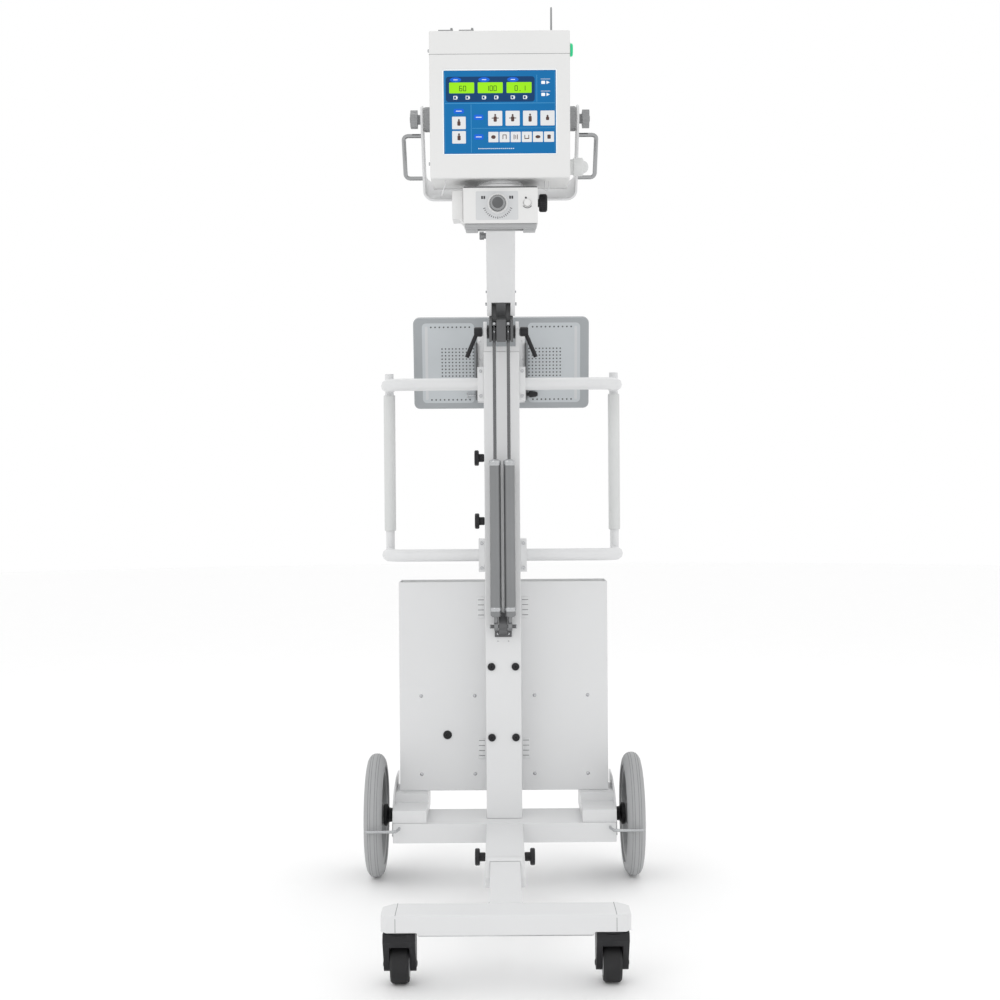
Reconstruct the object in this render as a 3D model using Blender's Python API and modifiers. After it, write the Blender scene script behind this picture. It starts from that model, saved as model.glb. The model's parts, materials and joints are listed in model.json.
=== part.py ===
"""Mobile x-ray unit: a generator head in a yoke on a sprung arm, carried by a wheeled column stand.

Metres, +Z up, -Y is the front. X is zero on the stand's middle plane.
"""

from math import cos, pi, radians, sin

import bmesh
import bpy
from mathutils import Matrix, Vector

GAP = 0.0003            # clearance between touching pieces
RUN = 0.0004            # radial clearance of turning and sliding fits

# Stand
COLUMN_Y = 0.30114      # middle of the column, front to back
COLUMN_W = 0.086
COLUMN_D = 0.080
COLUMN_TOP = 1.2850
WALL = 0.003            # wall of the steel tubes
CROSSBAR_LOW = 0.109
CROSSBAR_TOP = 0.155
CROSSBAR_HALF = 0.267
CROSSBAR_FRONT = COLUMN_Y - 0.092
CROSSBAR_BACK = COLUMN_Y + 0.068
BEAM_LOW = 0.100
BEAM_FRONT = COLUMN_Y - 0.395
LEG_W = 0.065
LEG_LOW = 0.106
LEG_TOP = 0.146
BAR_FRONT = COLUMN_Y - 0.805
BAR_BACK = COLUMN_Y - 0.720
BAR_HALF = 0.240
BAR_END = 0.074         # solid end over each caster

# Wheels and casters
WHEEL_R = 0.150
WHEEL_IN = 0.2930
WHEEL_OUT = 0.3370
AXLE_Y = COLUMN_Y + 0.031
AXLE_R = 0.008
CASTER_X = 0.2055
CASTER_Y = (BAR_FRONT + BAR_BACK) / 2
CASTER_R = 0.0375
CASTER_TRAIL = 0.012

# Hinge, arm and gas springs
PIVOT = Vector((0, COLUMN_Y - 0.005, 1.336))
ARM_ANGLE = radians(40)
ARM_W = 0.067
ARM_D = 0.045
ARM_END = 0.369
ARM_START = 0.060
ARM_FRONT_START = 0.098
SPRING_Y = PIVOT.y - 0.067
SPRING_X = 0.0168
SPRING_PIN_Z = 0.624
CYLINDER_R = 0.0135
CYLINDER_LOW = 0.647
CYLINDER_TOP = 1.0228
ROD_R = 0.004
ROD_EYE_Z = PIVOT.z + 0.0120

# Yoke and head
YOKE_BASE = 0.385       # from the arm's pivot to the inside of the yoke's base
YOKE_TILT = 0.5590      # from the arm's pivot to the head's tilt axis
YOKE_HALF = 0.1725
YOKE_PLATE = 0.005
YOKE_W = 0.080
YOKE_BEND = 0.024
HEAD_ANGLE = radians(4)
HEAD_HALF = 0.1490
HEAD_FRONT = -0.103
HEAD_BACK = 0.087
HEAD_LOW = -0.140
HEAD_TOP = 0.167
HEAD_SPLIT = -0.078
HEAD_WALL = 0.003
SCREEN_HALF = 0.1185
SCREEN_LOW = -0.089
SCREEN_TOP = 0.084
COLLAR_R = 0.054
COLLAR_H = 0.0175
COLLIMATOR_HALF = 0.080
COLLIMATOR_FRONT = -0.084
COLLIMATOR_BACK = 0.046
COLLIMATOR_TOP = HEAD_LOW - COLLAR_H - 2 * GAP
COLLIMATOR_LOW = COLLIMATOR_TOP - 0.075

# Handles, monitor and bin
RAIL_R = 0.0155
RAIL_X = 0.282
RAIL_LOW_Z = 0.792
RAIL_TOP_Z = 1.209
GRIP_Y = COLUMN_Y + 0.111
GRIP_ROD_R = 0.011
GRIP_R = 0.0145
MONITOR_HINGE = Vector((0, COLUMN_Y + 0.128, 1.260))
MONITOR_ANGLE = radians(10)
MONITOR_HALF = 0.222
MONITOR_LOW = -0.107
MONITOR_TOP = 0.123
MONITOR_CORNER = 0.014
BIN_HALF = 0.2575
BIN_LOW = 0.207
BIN_TOP = 0.724
BIN_D = 0.092
BIN_WALL = 0.0025

ARM_FRAME = Matrix.Translation(PIVOT) @ Matrix.Rotation(ARM_ANGLE, 4, "X")
TILT_AXIS = ARM_FRAME @ Vector((0, 0, YOKE_TILT))
HEAD_FRAME = Matrix.Translation(TILT_AXIS) @ Matrix.Rotation(HEAD_ANGLE, 4, "X")
MONITOR_FRAME = Matrix.Translation(MONITOR_HINGE) @ Matrix.Rotation(MONITOR_ANGLE, 4, "X")
WORLD = Matrix.Identity(4)
ALONG_X = Matrix.Rotation(pi / 2, 4, "Y")
ALONG_Y = Matrix.Rotation(-pi / 2, 4, "X")

for leftover in list(bpy.data.objects):
    bpy.data.objects.remove(leftover)


def collection(name):
    """A new collection under the scene's own."""
    made = bpy.data.collections.new(name)
    bpy.context.scene.collection.children.link(made)
    return made


PARTS = collection("mobile_xray_unit")
CUTTERS = collection("cutters")


def material(name, colour, roughness, metallic=0.0):
    """A Principled material."""
    made = bpy.data.materials.new(name)
    made.use_nodes = True
    shader = made.node_tree.nodes["Principled BSDF"]
    shader.inputs["Base Color"].default_value = (*colour, 1)
    shader.inputs["Roughness"].default_value = roughness
    shader.inputs["Metallic"].default_value = metallic
    return made


WHITE = material("white_paint", (0.83, 0.84, 0.84), 0.35)
WARM_WHITE = material("white_housing", (0.86, 0.86, 0.85), 0.4)
GREY = material("grey_plastic", (0.42, 0.43, 0.44), 0.5)
GRIP_GREY = material("grip_plastic", (0.68, 0.69, 0.68), 0.6)
BLACK = material("black_plastic", (0.02, 0.02, 0.022), 0.45)
DARK = material("dark_casting", (0.10, 0.10, 0.11), 0.45, 0.4)
SPRING_GREY = material("spring_steel", (0.22, 0.23, 0.24), 0.35, 0.7)
CHROME = material("chrome", (0.75, 0.76, 0.77), 0.12, 1.0)
TYRE = material("grey_rubber", (0.36, 0.37, 0.38), 0.8)
BLACK_TYRE = material("black_rubber", (0.015, 0.015, 0.016), 0.7)
SCREEN_BLUE = material("touch_screen", (0.02, 0.16, 0.45), 0.15)
GLASS = material("monitor_glass", (0.01, 0.01, 0.012), 0.08)
GREEN = material("green_light", (0.05, 0.75, 0.35), 0.3)
LEAD = material("tank_metal", (0.5, 0.5, 0.52), 0.5, 0.8)


def add(name, mesh, finish, frame=WORLD):
    """An object of the part from a mesh in a frame's own axes."""
    made = bpy.data.objects.new(name, mesh)
    made.matrix_world = frame
    if finish is None:
        CUTTERS.objects.link(made)
        made.hide_render = True
        made.display_type = "WIRE"
    else:
        PARTS.objects.link(made)
        mesh.materials.clear()
        mesh.materials.append(finish)
    return made


def box(name, low, high, finish, frame=WORLD):
    """A box between two corners."""
    mesh = bpy.data.meshes.new(name)
    shape = bmesh.new()
    bmesh.ops.create_cube(shape, size=1)
    low, high = Vector(low), Vector(high)
    bmesh.ops.scale(shape, vec=high - low, verts=shape.verts)
    bmesh.ops.translate(shape, vec=(low + high) / 2, verts=shape.verts)
    shape.to_mesh(mesh)
    shape.free()
    return add(name, mesh, finish, frame)


def rod(name, radius, start, end, finish, frame=WORLD, sides=24):
    """A round bar from start to end."""
    start, end = Vector(start), Vector(end)
    run = end - start
    mesh = bpy.data.meshes.new(name)
    shape = bmesh.new()
    bmesh.ops.create_cone(
        shape, cap_ends=True, segments=sides, radius1=radius, radius2=radius, depth=run.length
    )
    turn = run.to_track_quat("Z", "Y").to_matrix().to_4x4()
    bmesh.ops.transform(shape, matrix=Matrix.Translation((start + end) / 2) @ turn, verts=shape.verts)
    shape.to_mesh(mesh)
    shape.free()
    made = add(name, mesh, finish, frame)
    smooth(made)
    return made


def smooth(obj, angle=40):
    """Smooth shading with sharp edges kept."""
    obj.data.shade_smooth()
    obj.data.set_sharp_from_angle(angle=radians(angle))


def curve_mesh(name, curve, finish, frame):
    """The mesh of a curve, with its caps welded."""
    source = bpy.data.objects.new(name + "_curve", curve)
    CUTTERS.objects.link(source)
    bpy.context.view_layer.update()
    mesh = bpy.data.meshes.new_from_object(source.evaluated_get(bpy.context.evaluated_depsgraph_get()))
    bpy.data.objects.remove(source)
    shape = bmesh.new()
    shape.from_mesh(mesh)
    bmesh.ops.remove_doubles(shape, verts=shape.verts, dist=0.00001)
    shape.to_mesh(mesh)
    shape.free()
    mesh.name = name
    return add(name, mesh, finish, frame)


def plate(name, outline, low, high, finish, frame=WORLD):
    """A flat outline in the frame's XY plane, solid from low to high along its Z."""
    curve = bpy.data.curves.new(name, "CURVE")
    curve.dimensions = "2D"
    curve.fill_mode = "BOTH"
    curve.extrude = (high - low) / 2
    spline = curve.splines.new("POLY")
    spline.points.add(len(outline) - 1)
    for point, (x, y) in zip(spline.points, outline):
        point.co = (x, y, 0, 1)
    spline.use_cyclic_u = True
    middle = Matrix.Translation((0, 0, (low + high) / 2))
    return curve_mesh(name, curve, finish, frame @ middle)


def side_plate(name, outline, low, high, finish, frame=WORLD):
    """A flat outline of (y, z) points, solid from low to high along X."""
    turn = Matrix(((0, 0, 1, 0), (1, 0, 0, 0), (0, 1, 0, 0), (0, 0, 0, 1)))
    return plate(name, outline, low, high, finish, frame @ turn)


def tube(name, route, radius, finish, frame=WORLD, fineness=3):
    """A bent round bar along a route of points."""
    curve = bpy.data.curves.new(name, "CURVE")
    curve.dimensions = "3D"
    curve.bevel_depth = radius
    curve.bevel_resolution = fineness
    curve.use_fill_caps = True
    spline = curve.splines.new("POLY")
    spline.points.add(len(route) - 1)
    for point, place in zip(spline.points, route):
        point.co = (*place, 1)
    made = curve_mesh(name, curve, finish, frame)
    smooth(made, 50)
    return made


def turned(name, profile, finish, frame=WORLD, steps=32, closed=False):
    """A solid turned about the frame's Z; the profile of (radius, z) runs down the outside."""
    mesh = bpy.data.meshes.new(name)
    edges = [(i, i + 1) for i in range(len(profile) - 1)]
    if closed:
        edges.append((len(profile) - 1, 0))
    mesh.from_pydata([(r, 0, z) for r, z in profile], edges, [])
    made = add(name, mesh, finish, frame)
    screw = made.modifiers.new("turn", "SCREW")
    screw.steps = steps
    screw.render_steps = steps
    screw.use_merge_vertices = True
    screw.merge_threshold = 0.00001
    screw.use_smooth_shade = True
    return made


def ring(name, profile, finish, frame=WORLD, steps=32):
    """A turned ring: the profile closes on its first point."""
    return turned(name, profile, finish, frame, steps, closed=True)


def boolean(obj, other, operation):
    """Cuts, joins or crosses obj with a helper object, which is kept as a cutter."""
    other.hide_render = True
    other.display_type = "WIRE"
    made = obj.modifiers.new(operation.lower(), "BOOLEAN")
    made.operation = operation
    made.solver = "EXACT"
    made.object = other
    return obj


def cut(obj, *others):
    """Takes each helper away from obj."""
    for other in others:
        boolean(obj, other, "DIFFERENCE")
    return obj


def join(obj, *others):
    """Adds each helper to obj."""
    for other in others:
        boolean(obj, other, "UNION")
    return obj


def set_origin(obj, pivot):
    """Puts an object's origin on its joint axis without moving its shape."""
    shift = obj.matrix_world.inverted() @ Vector(pivot)
    obj.data.transform(Matrix.Translation(-shift))
    obj.matrix_world = obj.matrix_world @ Matrix.Translation(shift)
    return obj


def arc(cx, cy, radius, start, end, count):
    """Points of an arc, with angles in degrees."""
    turn = [radians(start + (end - start) * i / count) for i in range(count + 1)]
    return [(cx + radius * cos(a), cy + radius * sin(a)) for a in turn]


def sides():
    """The two sides of the stand, as (name ending, sign of X)."""
    return (("left", -1), ("right", 1))


# ---------------------------------------------------------------- base frame

def front_bar():
    """The cross bar over the casters, hollow between its solid ends and open below."""
    chamfer = 0.020
    depth = BAR_BACK - BAR_FRONT
    half = depth / 2
    outline = [
        (-BAR_HALF + 0.010, -half), (BAR_HALF - 0.010, -half), (BAR_HALF, -half + 0.012),
        (BAR_HALF, half - chamfer), (BAR_HALF - chamfer, half), (-BAR_HALF + chamfer, half),
        (-BAR_HALF, half - chamfer), (-BAR_HALF, -half + 0.012),
    ]
    frame = Matrix.Translation((0, CASTER_Y, 0))
    bar = plate("front_bar", outline, LEG_LOW, LEG_TOP, WHITE, frame)
    inside = BAR_HALF - BAR_END
    hollow = box(
        "front_bar_hollow", (-inside, BAR_FRONT + WALL, LEG_LOW - 0.01),
        (inside, BAR_BACK - WALL, LEG_TOP - WALL), None,
    )
    relief = 0.006
    for ending, sign in sides():
        start, end = sorted((sign * (BAR_HALF - 0.071), sign * (BAR_HALF + 0.01)))
        step = box(
            "front_bar_relief_" + ending, (start, BAR_FRONT - 0.01, LEG_LOW - 0.01),
            (end, BAR_BACK + 0.01, LEG_LOW + relief), None,
        )
        cut(bar, step)
    return cut(bar, hollow)


def square_tube(name, low, high, axis, finish):
    """A rectangular tube open at both ends along an axis."""
    made = box(name, low, high, finish)
    inner_low = [a + WALL for a in low]
    inner_high = [b - WALL for b in high]
    inner_low[axis] = low[axis] - 0.01
    inner_high[axis] = high[axis] + 0.01
    return cut(made, box(name + "_inside", inner_low, inner_high, None))


def front_leg():
    """The leg that slides in the centre beam and carries the front bar."""
    return square_tube(
        "front_leg", (-LEG_W / 2, BAR_BACK + GAP, LEG_LOW),
        (LEG_W / 2, COLUMN_Y - 0.240, LEG_TOP), 1, WHITE,
    )


def centre_beam():
    """The sleeve that the leg slides in, with cheeks longer than its top."""
    half = COLUMN_W / 2
    nose = 0.055
    outline = [
        (BEAM_FRONT - nose, BEAM_LOW), (CROSSBAR_FRONT - GAP, BEAM_LOW),
        (CROSSBAR_FRONT - GAP, CROSSBAR_TOP), (BEAM_FRONT, CROSSBAR_TOP),
        (BEAM_FRONT - nose, BEAM_LOW + 0.022),
    ]
    beam = side_plate("centre_beam", outline, -half, half, WHITE)
    bore_half = LEG_W / 2 + GAP
    bore = box(
        "centre_beam_bore", (-bore_half, BEAM_FRONT - 0.1, LEG_LOW - GAP),
        (bore_half, CROSSBAR_FRONT + 0.01, LEG_TOP + GAP), None,
    )
    return cut(beam, bore)


def rear_crossbar():
    """The wide tube over the rear axle."""
    return square_tube(
        "rear_crossbar", (-CROSSBAR_HALF, CROSSBAR_FRONT, CROSSBAR_LOW),
        (CROSSBAR_HALF, CROSSBAR_BACK, CROSSBAR_TOP), 0, WHITE,
    )


def axle_block(ending, sign):
    """The stepped bracket that carries the bin, the axle stub and a rounded side gusset."""
    def span(inner, outer):
        return sorted((sign * inner, sign * outer))
    low_step = CROSSBAR_FRONT + 0.007
    high_step = COLUMN_Y + 0.010
    back = COLUMN_Y + 0.128
    floor = CROSSBAR_TOP + GAP
    outline = [
        (low_step, floor), (back, floor), (back, BIN_LOW - GAP),
        (high_step, BIN_LOW - GAP), (high_step, 0.185), (low_step, 0.185),
    ]
    a, b = span(0.187, 0.2680)
    block = side_plate("axle_block_" + ending, outline, a, b, WHITE)
    gusset_line = [
        (COLUMN_Y - 0.062, 0.118), (COLUMN_Y + 0.066, 0.118), (COLUMN_Y + 0.128, 0.160),
        (COLUMN_Y + 0.165, 0.182), *arc(COLUMN_Y + 0.155, 0.222, 0.014, 0, 90, 4),
        (COLUMN_Y + 0.080, 0.232), (COLUMN_Y + 0.010, 0.214), (COLUMN_Y - 0.040, 0.182),
    ]
    a, b = span(CROSSBAR_HALF + GAP, CROSSBAR_HALF + 0.0045)
    gusset = side_plate(block.name + "_gusset", gusset_line, a, b, None)
    start = (sign * (CROSSBAR_HALF + 0.001), AXLE_Y, WHEEL_R)
    end = (sign * (WHEEL_OUT + 0.010), AXLE_Y, WHEEL_R)
    stub = rod(block.name + "_stub", AXLE_R, start, end, None, sides=20)
    return join(block, gusset, stub)


# ------------------------------------------------------------ wheels, casters

def wheel_frame(sign):
    """Z of this frame points outwards along the axle."""
    turn = Matrix.Rotation(sign * pi / 2, 4, "Y")
    return Matrix.Translation((0, AXLE_Y, WHEEL_R)) @ turn


def rear_wheel(ending, sign):
    """A grey tyre on a spoked-disc rim that turns on the axle stub."""
    frame = wheel_frame(sign)
    middle = (WHEEL_IN + WHEEL_OUT) / 2
    half = (WHEEL_OUT - WHEEL_IN) / 2
    seat = 0.118
    crown = [
        (seat + (WHEEL_R - seat) * max(0.0, sin(radians(a))) ** 0.7, middle + half * cos(radians(a)))
        for a in range(10, 171, 16)
    ]
    tyre_line = [(seat, middle + half * 0.96), *crown, (seat, middle - half * 0.96)]
    ring("tyre_" + ending, tyre_line, TYRE, frame, 48)
    out = seat - GAP
    web = 0.004
    bore = AXLE_R + RUN
    rim_line = [
        (bore, middle + 0.021), (0.022, middle + 0.021), (0.026, middle + 0.012),
        (0.055, middle + web), (0.098, middle + web), (0.106, middle + 0.016), (out, middle + 0.018),
        (out, middle - 0.018), (0.106, middle - 0.016), (0.098, middle - web), (0.055, middle - web),
        (0.026, middle - 0.014), (0.022, middle - 0.018), (bore, middle - 0.018),
    ]
    ring("rim_" + ending, rim_line, GREY, frame, 40)


def caster(ending, sign):
    """A swivel fork with a trailing wheel."""
    x = sign * CASTER_X
    wheel_y = CASTER_Y + CASTER_TRAIL
    top = LEG_LOW + 0.006 - GAP
    inner = 0.0195
    outer = 0.0315
    outline = [
        (CASTER_Y - 0.026, top - 0.006), (CASTER_Y - 0.030, top - 0.020),
        (wheel_y - 0.018, 0.050), *arc(wheel_y, CASTER_R, 0.014, 200, 340, 6),
        (wheel_y + 0.018, 0.050), (CASTER_Y + 0.030, top - 0.020), (CASTER_Y + 0.026, top - 0.006),
    ]
    fork = side_plate("caster_fork_" + ending, outline, x - outer, x + outer, BLACK)
    slot = box(
        fork.name + "_slot", (x - inner, CASTER_Y - 0.06, 0.0), (x + inner, CASTER_Y + 0.06, 0.0785), None,
    )
    cap = rod(fork.name + "_cap", 0.029, (x, CASTER_Y, top - 0.012), (x, CASTER_Y, top), None, sides=28)
    axle = rod(
        fork.name + "_axle", 0.0036, (x - outer + 0.002, wheel_y, CASTER_R),
        (x + outer - 0.002, wheel_y, CASTER_R), None, sides=16,
    )
    cut(fork, slot)
    join(fork, cap, axle)
    set_origin(fork, (x, CASTER_Y, top))
    half = 0.0180
    edge = 0.004
    wheel_line = [
        (CASTER_R - edge, half), (CASTER_R, half - edge), (CASTER_R, -half + edge),
        (CASTER_R - edge, -half), (0.004, -half), (0.004, half),
    ]
    frame = Matrix.Translation((x, wheel_y, CASTER_R)) @ ALONG_X
    ring("caster_wheel_" + ending, wheel_line, BLACK_TYRE, frame, 32)


def t_knob(name, base, sign, finish=BLACK):
    """A flat round clamping knob on a short neck, standing out along X."""
    frame = Matrix.Translation(base) @ Matrix.Rotation(sign * pi / 2, 4, "Y")
    neck, head, length = 0.0100, 0.0190, 0.024
    profile = [
        (0, length), (head - 0.002, length), (head, length - 0.002), (head, length - 0.009),
        (head - 0.002, length - 0.011), (neck, length - 0.011), (neck, 0.002), (neck - 0.002, 0), (0, 0),
    ]
    return turned(name, profile, finish, frame, 24)


# ------------------------------------------------------------- column, hinge

def column():
    """The square upright, open at both ends."""
    return square_tube(
        "column", (-COLUMN_W / 2, COLUMN_Y - COLUMN_D / 2, CROSSBAR_TOP + GAP),
        (COLUMN_W / 2, COLUMN_Y + COLUMN_D / 2, COLUMN_TOP), 2, WHITE,
    )


def hinge_clevis():
    """The cap on the column, with two ears that hold the arm's shaft."""
    half = COLUMN_W / 2
    ear = 0.008
    low = COLUMN_TOP + GAP
    floor = low + 0.012
    front = COLUMN_Y - COLUMN_D / 2
    back = COLUMN_Y + COLUMN_D / 2
    outline = [
        (front, low), (back, low), (back, floor), (PIVOT.y + 0.022, PIVOT.z + 0.012),
        *arc(PIVOT.y, PIVOT.z, 0.0245, 30, 130, 6), (front, PIVOT.z + 0.006),
    ]
    cap = side_plate("hinge_clevis", outline, -half, half, WHITE)
    gate = box(
        "hinge_clevis_gate", (-half + ear, front - 0.02, floor), (half - ear, back + 0.02, 1.45), None,
    )
    bore = rod("hinge_clevis_bore", AXLE_R, (-0.06, *PIVOT.yz), (0.06, *PIVOT.yz), None)
    return cut(cap, gate, bore)


def hinge_shaft():
    """The shaft through the ears and the arm's hub."""
    end = 0.0455
    return rod("hinge_shaft", AXLE_R - RUN, (-end, *PIVOT.yz), (end, *PIVOT.yz), SPRING_GREY)


def clamp_lever(ending, sign):
    """A black clamping lever on the end of the hinge shaft."""
    name = "clamp_lever_" + ending
    base = Matrix.Translation(PIVOT) @ Matrix.Rotation(sign * pi / 2, 4, "Y")
    start, end = 0.0460, 0.0660
    profile = [
        (0, end), (0.0095, end), (0.0115, end - 0.003), (0.0120, start + 0.003), (0.0105, start),
        (0, start),
    ]
    hub = turned(name, profile, BLACK, base, 24)
    route = [(sign * (end - 0.008), PIVOT.y, PIVOT.z), (sign * (end + 0.018), PIVOT.y, PIVOT.z - 0.062)]
    handle = rod(name + "_handle", 0.0052, *route, None, sides=16)
    return join(hub, handle)


def spring_foot():
    """The bracket low on the column, with the pin through the springs' lower eyes."""
    front = COLUMN_Y - COLUMN_D / 2
    half = 0.0105
    outline = [
        (front - GAP, 0.598), (front - GAP, 0.655), (front - 0.010, 0.655),
        *arc(SPRING_Y, SPRING_PIN_Z, 0.011, 120, 270, 6),
    ]
    foot = side_plate("spring_foot", outline, -half, half, DARK)
    pin_end = Vector((0.031, SPRING_Y, SPRING_PIN_Z))
    pin = rod("spring_foot_pin", 0.0045, (-0.031, *pin_end.yz), pin_end, None)
    return join(foot, pin)


def gas_spring(ending, sign):
    """A cylinder hung on the lower pin and the rod that slides in it."""
    x = sign * SPRING_X
    name = "gas_cylinder_" + ending
    frame = Matrix.Translation((x, SPRING_Y, 0))
    bore = ROD_R + RUN
    bore_end = CYLINDER_TOP - 0.180
    profile = [
        (bore, CYLINDER_TOP), (CYLINDER_R - 0.003, CYLINDER_TOP), (CYLINDER_R, CYLINDER_TOP - 0.003),
        (CYLINDER_R, CYLINDER_LOW + 0.004), (CYLINDER_R - 0.003, CYLINDER_LOW), (0.0050, CYLINDER_LOW),
        (0.0050, SPRING_PIN_Z + 0.006), (0, SPRING_PIN_Z + 0.006),
    ]
    body = turned(name, [(0, bore_end), (bore, bore_end), *profile], SPRING_GREY, frame, 24)
    wide = 0.0048
    pin = (SPRING_Y, SPRING_PIN_Z)
    eye = rod(name + "_eye", 0.0105, (x - wide, *pin), (x + wide, *pin), None)
    hole = rod(name + "_hole", 0.0045 + RUN, (x - 0.02, *pin), (x + 0.02, *pin), None)
    join(body, eye)
    cut(body, hole)
    low_end = (x, SPRING_Y, CYLINDER_TOP - 0.110)
    top_eye = (SPRING_Y, ROD_EYE_Z)
    bar = rod("gas_rod_" + ending, ROD_R, low_end, (x, *top_eye), CHROME, sides=16)
    tip = rod(bar.name + "_eye", 0.0068, (x - 0.0045, *top_eye), (x + 0.0045, *top_eye), None, sides=16)
    return join(bar, tip)


# -------------------------------------------------------------- arm and yoke

def arm_bracket():
    """The dark casting between the shaft and the arm tube, forked for the springs' rods."""
    half = 0.0285
    frame = Matrix.Translation(PIVOT)
    reach = 0.125
    back = 0.019
    along = Vector((-sin(ARM_ANGLE), cos(ARM_ANGLE)))
    across = Vector((cos(ARM_ANGLE), sin(ARM_ANGLE)))
    outline = [
        tuple(across * back), tuple(along * reach + across * back), tuple(along * reach - across * back),
        tuple(along * 0.057 - across * back), (-0.083, 0.020), (-0.083, -0.032), (-0.072, -0.032),
        (-0.061, -0.020), (-0.050, -0.006), (-0.020, -0.012), (0.010, -0.012),
    ]
    body = side_plate("arm_bracket", outline, -half, half, DARK, frame)
    for ending, sign in sides():
        a, b = sorted((sign * (SPRING_X - 0.0056), sign * (SPRING_X + 0.0056)))
        cut(body, box("arm_bracket_slot_" + ending, (a, -0.10, -0.06), (b, -0.052, 0.06), None, frame))
    hub = rod("arm_bracket_hub", 0.0165, (-0.0345, *PIVOT.yz), (0.0345, *PIVOT.yz), None)
    bore = rod("arm_bracket_bore", AXLE_R, (-0.05, *PIVOT.yz), (0.05, *PIVOT.yz), None)
    join(body, hub)
    cut(body, bore)
    return set_origin(body, PIVOT)


def arm_tube():
    """The arm: a tube with a notched front at its lower end and a closed top."""
    half, deep = ARM_W / 2, ARM_D / 2
    arm = box("arm", (-half, -deep, ARM_START), (half, deep, ARM_END), WHITE, ARM_FRAME)
    inner = box(
        "arm_inside", (-half + WALL, -deep + WALL, 0.0), (half - WALL, deep - WALL, ARM_END - 0.006),
        None, ARM_FRAME,
    )
    notch = box("arm_notch", (-0.0225, -deep - 0.01, 0.0), (0.0225, 0.0, ARM_FRONT_START), None, ARM_FRAME)
    cut(arm, inner, notch)
    return set_origin(arm, PIVOT)


def arm_plunger():
    """The spring plunger on the arm's left side that locks the yoke's swivel."""
    frame = ARM_FRAME @ Matrix.Translation((-ARM_W / 2 - GAP, 0, 0.268)) @ Matrix.Rotation(-pi / 2, 4, "Y")
    profile = [
        (0, 0.015), (0.0085, 0.015), (0.0095, 0.013), (0.0095, 0.005), (0.0070, 0.0045),
        (0.0070, 0), (0, 0),
    ]
    return turned("arm_plunger", profile, SPRING_GREY, frame, 20)


def yoke():
    """The bent U plate, rounded at the tilt axis, on its swivel hub."""
    outer, inner = YOKE_HALF, YOKE_HALF - YOKE_PLATE
    low, floor = YOKE_BASE - YOKE_PLATE, YOKE_BASE
    top = YOKE_TILT + YOKE_W / 2
    bend = YOKE_BEND
    right_out = arc(outer - bend, low + bend, bend, -90, 0, 8)
    right_in = arc(outer - bend, low + bend, bend - YOKE_PLATE, 0, -90, 8)
    left_in = [(-x, z) for x, z in reversed(right_in)]
    left_out = [(-x, z) for x, z in reversed(right_out)]
    outline = [
        *right_out, (outer, top), (inner, top), *right_in,
        *left_in, (-inner, top), (-outer, top), *left_out,
    ]
    turn = Matrix(((1, 0, 0, 0), (0, 0, -1, 0), (0, 1, 0, 0), (0, 0, 0, 1)))
    half = YOKE_W / 2
    made = plate("yoke", outline, -half, half, WHITE, ARM_FRAME @ turn)
    round_end = [(-half, low - 0.01), (half, low - 0.01), *arc(0, YOKE_TILT, 0.030, 25, 155, 8)]
    keep = side_plate("yoke_keep", round_end, -0.2, 0.2, None, ARM_FRAME)
    boolean(made, keep, "INTERSECT")
    hub = rod("yoke_hub", 0.029, (0, 0, ARM_END + GAP), (0, 0, low + 0.001), None, ARM_FRAME, 32)
    join(made, hub)
    return set_origin(made, ARM_FRAME @ Vector((0, 0, ARM_END)))


def yoke_handle(ending, sign):
    """A chromed rod handle on a yoke leg."""
    out = sign * 0.2125
    near = sign * (YOKE_HALF + GAP)
    low, high, bend = 0.4165, 0.5205, 0.010
    middle = out - sign * bend
    side = 90 - sign * 90
    route = [(near, 0, high)]
    route += [(x, 0, z) for x, z in arc(middle, high - bend, bend, 90, side, 4)]
    route += [(x, 0, z) for x, z in arc(middle, low + bend, bend, side, side - sign * 90, 4)]
    route += [(near, 0, low)]
    return tube("yoke_handle_" + ending, route, 0.0048, CHROME, ARM_FRAME, 2)


def tilt_knob(ending, sign):
    """A lobed knob that clamps the head's tilt."""
    name = "tilt_knob_" + ending
    lobes, mean, swing = 5, 0.0185, 0.0025
    count = 30
    outline = []
    for i in range(count):
        a = 2 * pi * i / count
        r = mean + swing * cos(lobes * a)
        outline.append((r * cos(a), r * sin(a)))
    frame = Matrix.Translation(TILT_AXIS) @ Matrix.Rotation(sign * pi / 2, 4, "Y")
    near = YOKE_HALF + GAP
    head = plate(name, outline, near + 0.007, near + 0.0225, GREY, frame)
    neck = rod(name + "_neck", 0.0105, (0, 0, near), (0, 0, near + 0.009), None, frame)
    join(head, neck)
    return set_origin(head, TILT_AXIS)


# ---------------------------------------------------------------------- head

def head_cover():
    """The front cover, hollow behind, with a recess for the touch screen."""
    cover = box(
        "head_cover", (-HEAD_HALF, HEAD_FRONT, HEAD_LOW), (HEAD_HALF, HEAD_SPLIT, HEAD_TOP),
        WARM_WHITE, HEAD_FRAME,
    )
    face = 0.008
    hollow = box(
        "head_cover_hollow", (-HEAD_HALF + HEAD_WALL, HEAD_FRONT + face, HEAD_LOW + HEAD_WALL),
        (HEAD_HALF - HEAD_WALL, HEAD_SPLIT + 0.01, HEAD_TOP - HEAD_WALL), None, HEAD_FRAME,
    )
    recess = box(
        "head_cover_recess", (-SCREEN_HALF - GAP, HEAD_FRONT - 0.01, SCREEN_LOW - GAP),
        (SCREEN_HALF + GAP, HEAD_FRONT + 0.0045, SCREEN_TOP + GAP), None, HEAD_FRAME,
    )
    return cut(cover, hollow, recess)


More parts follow.
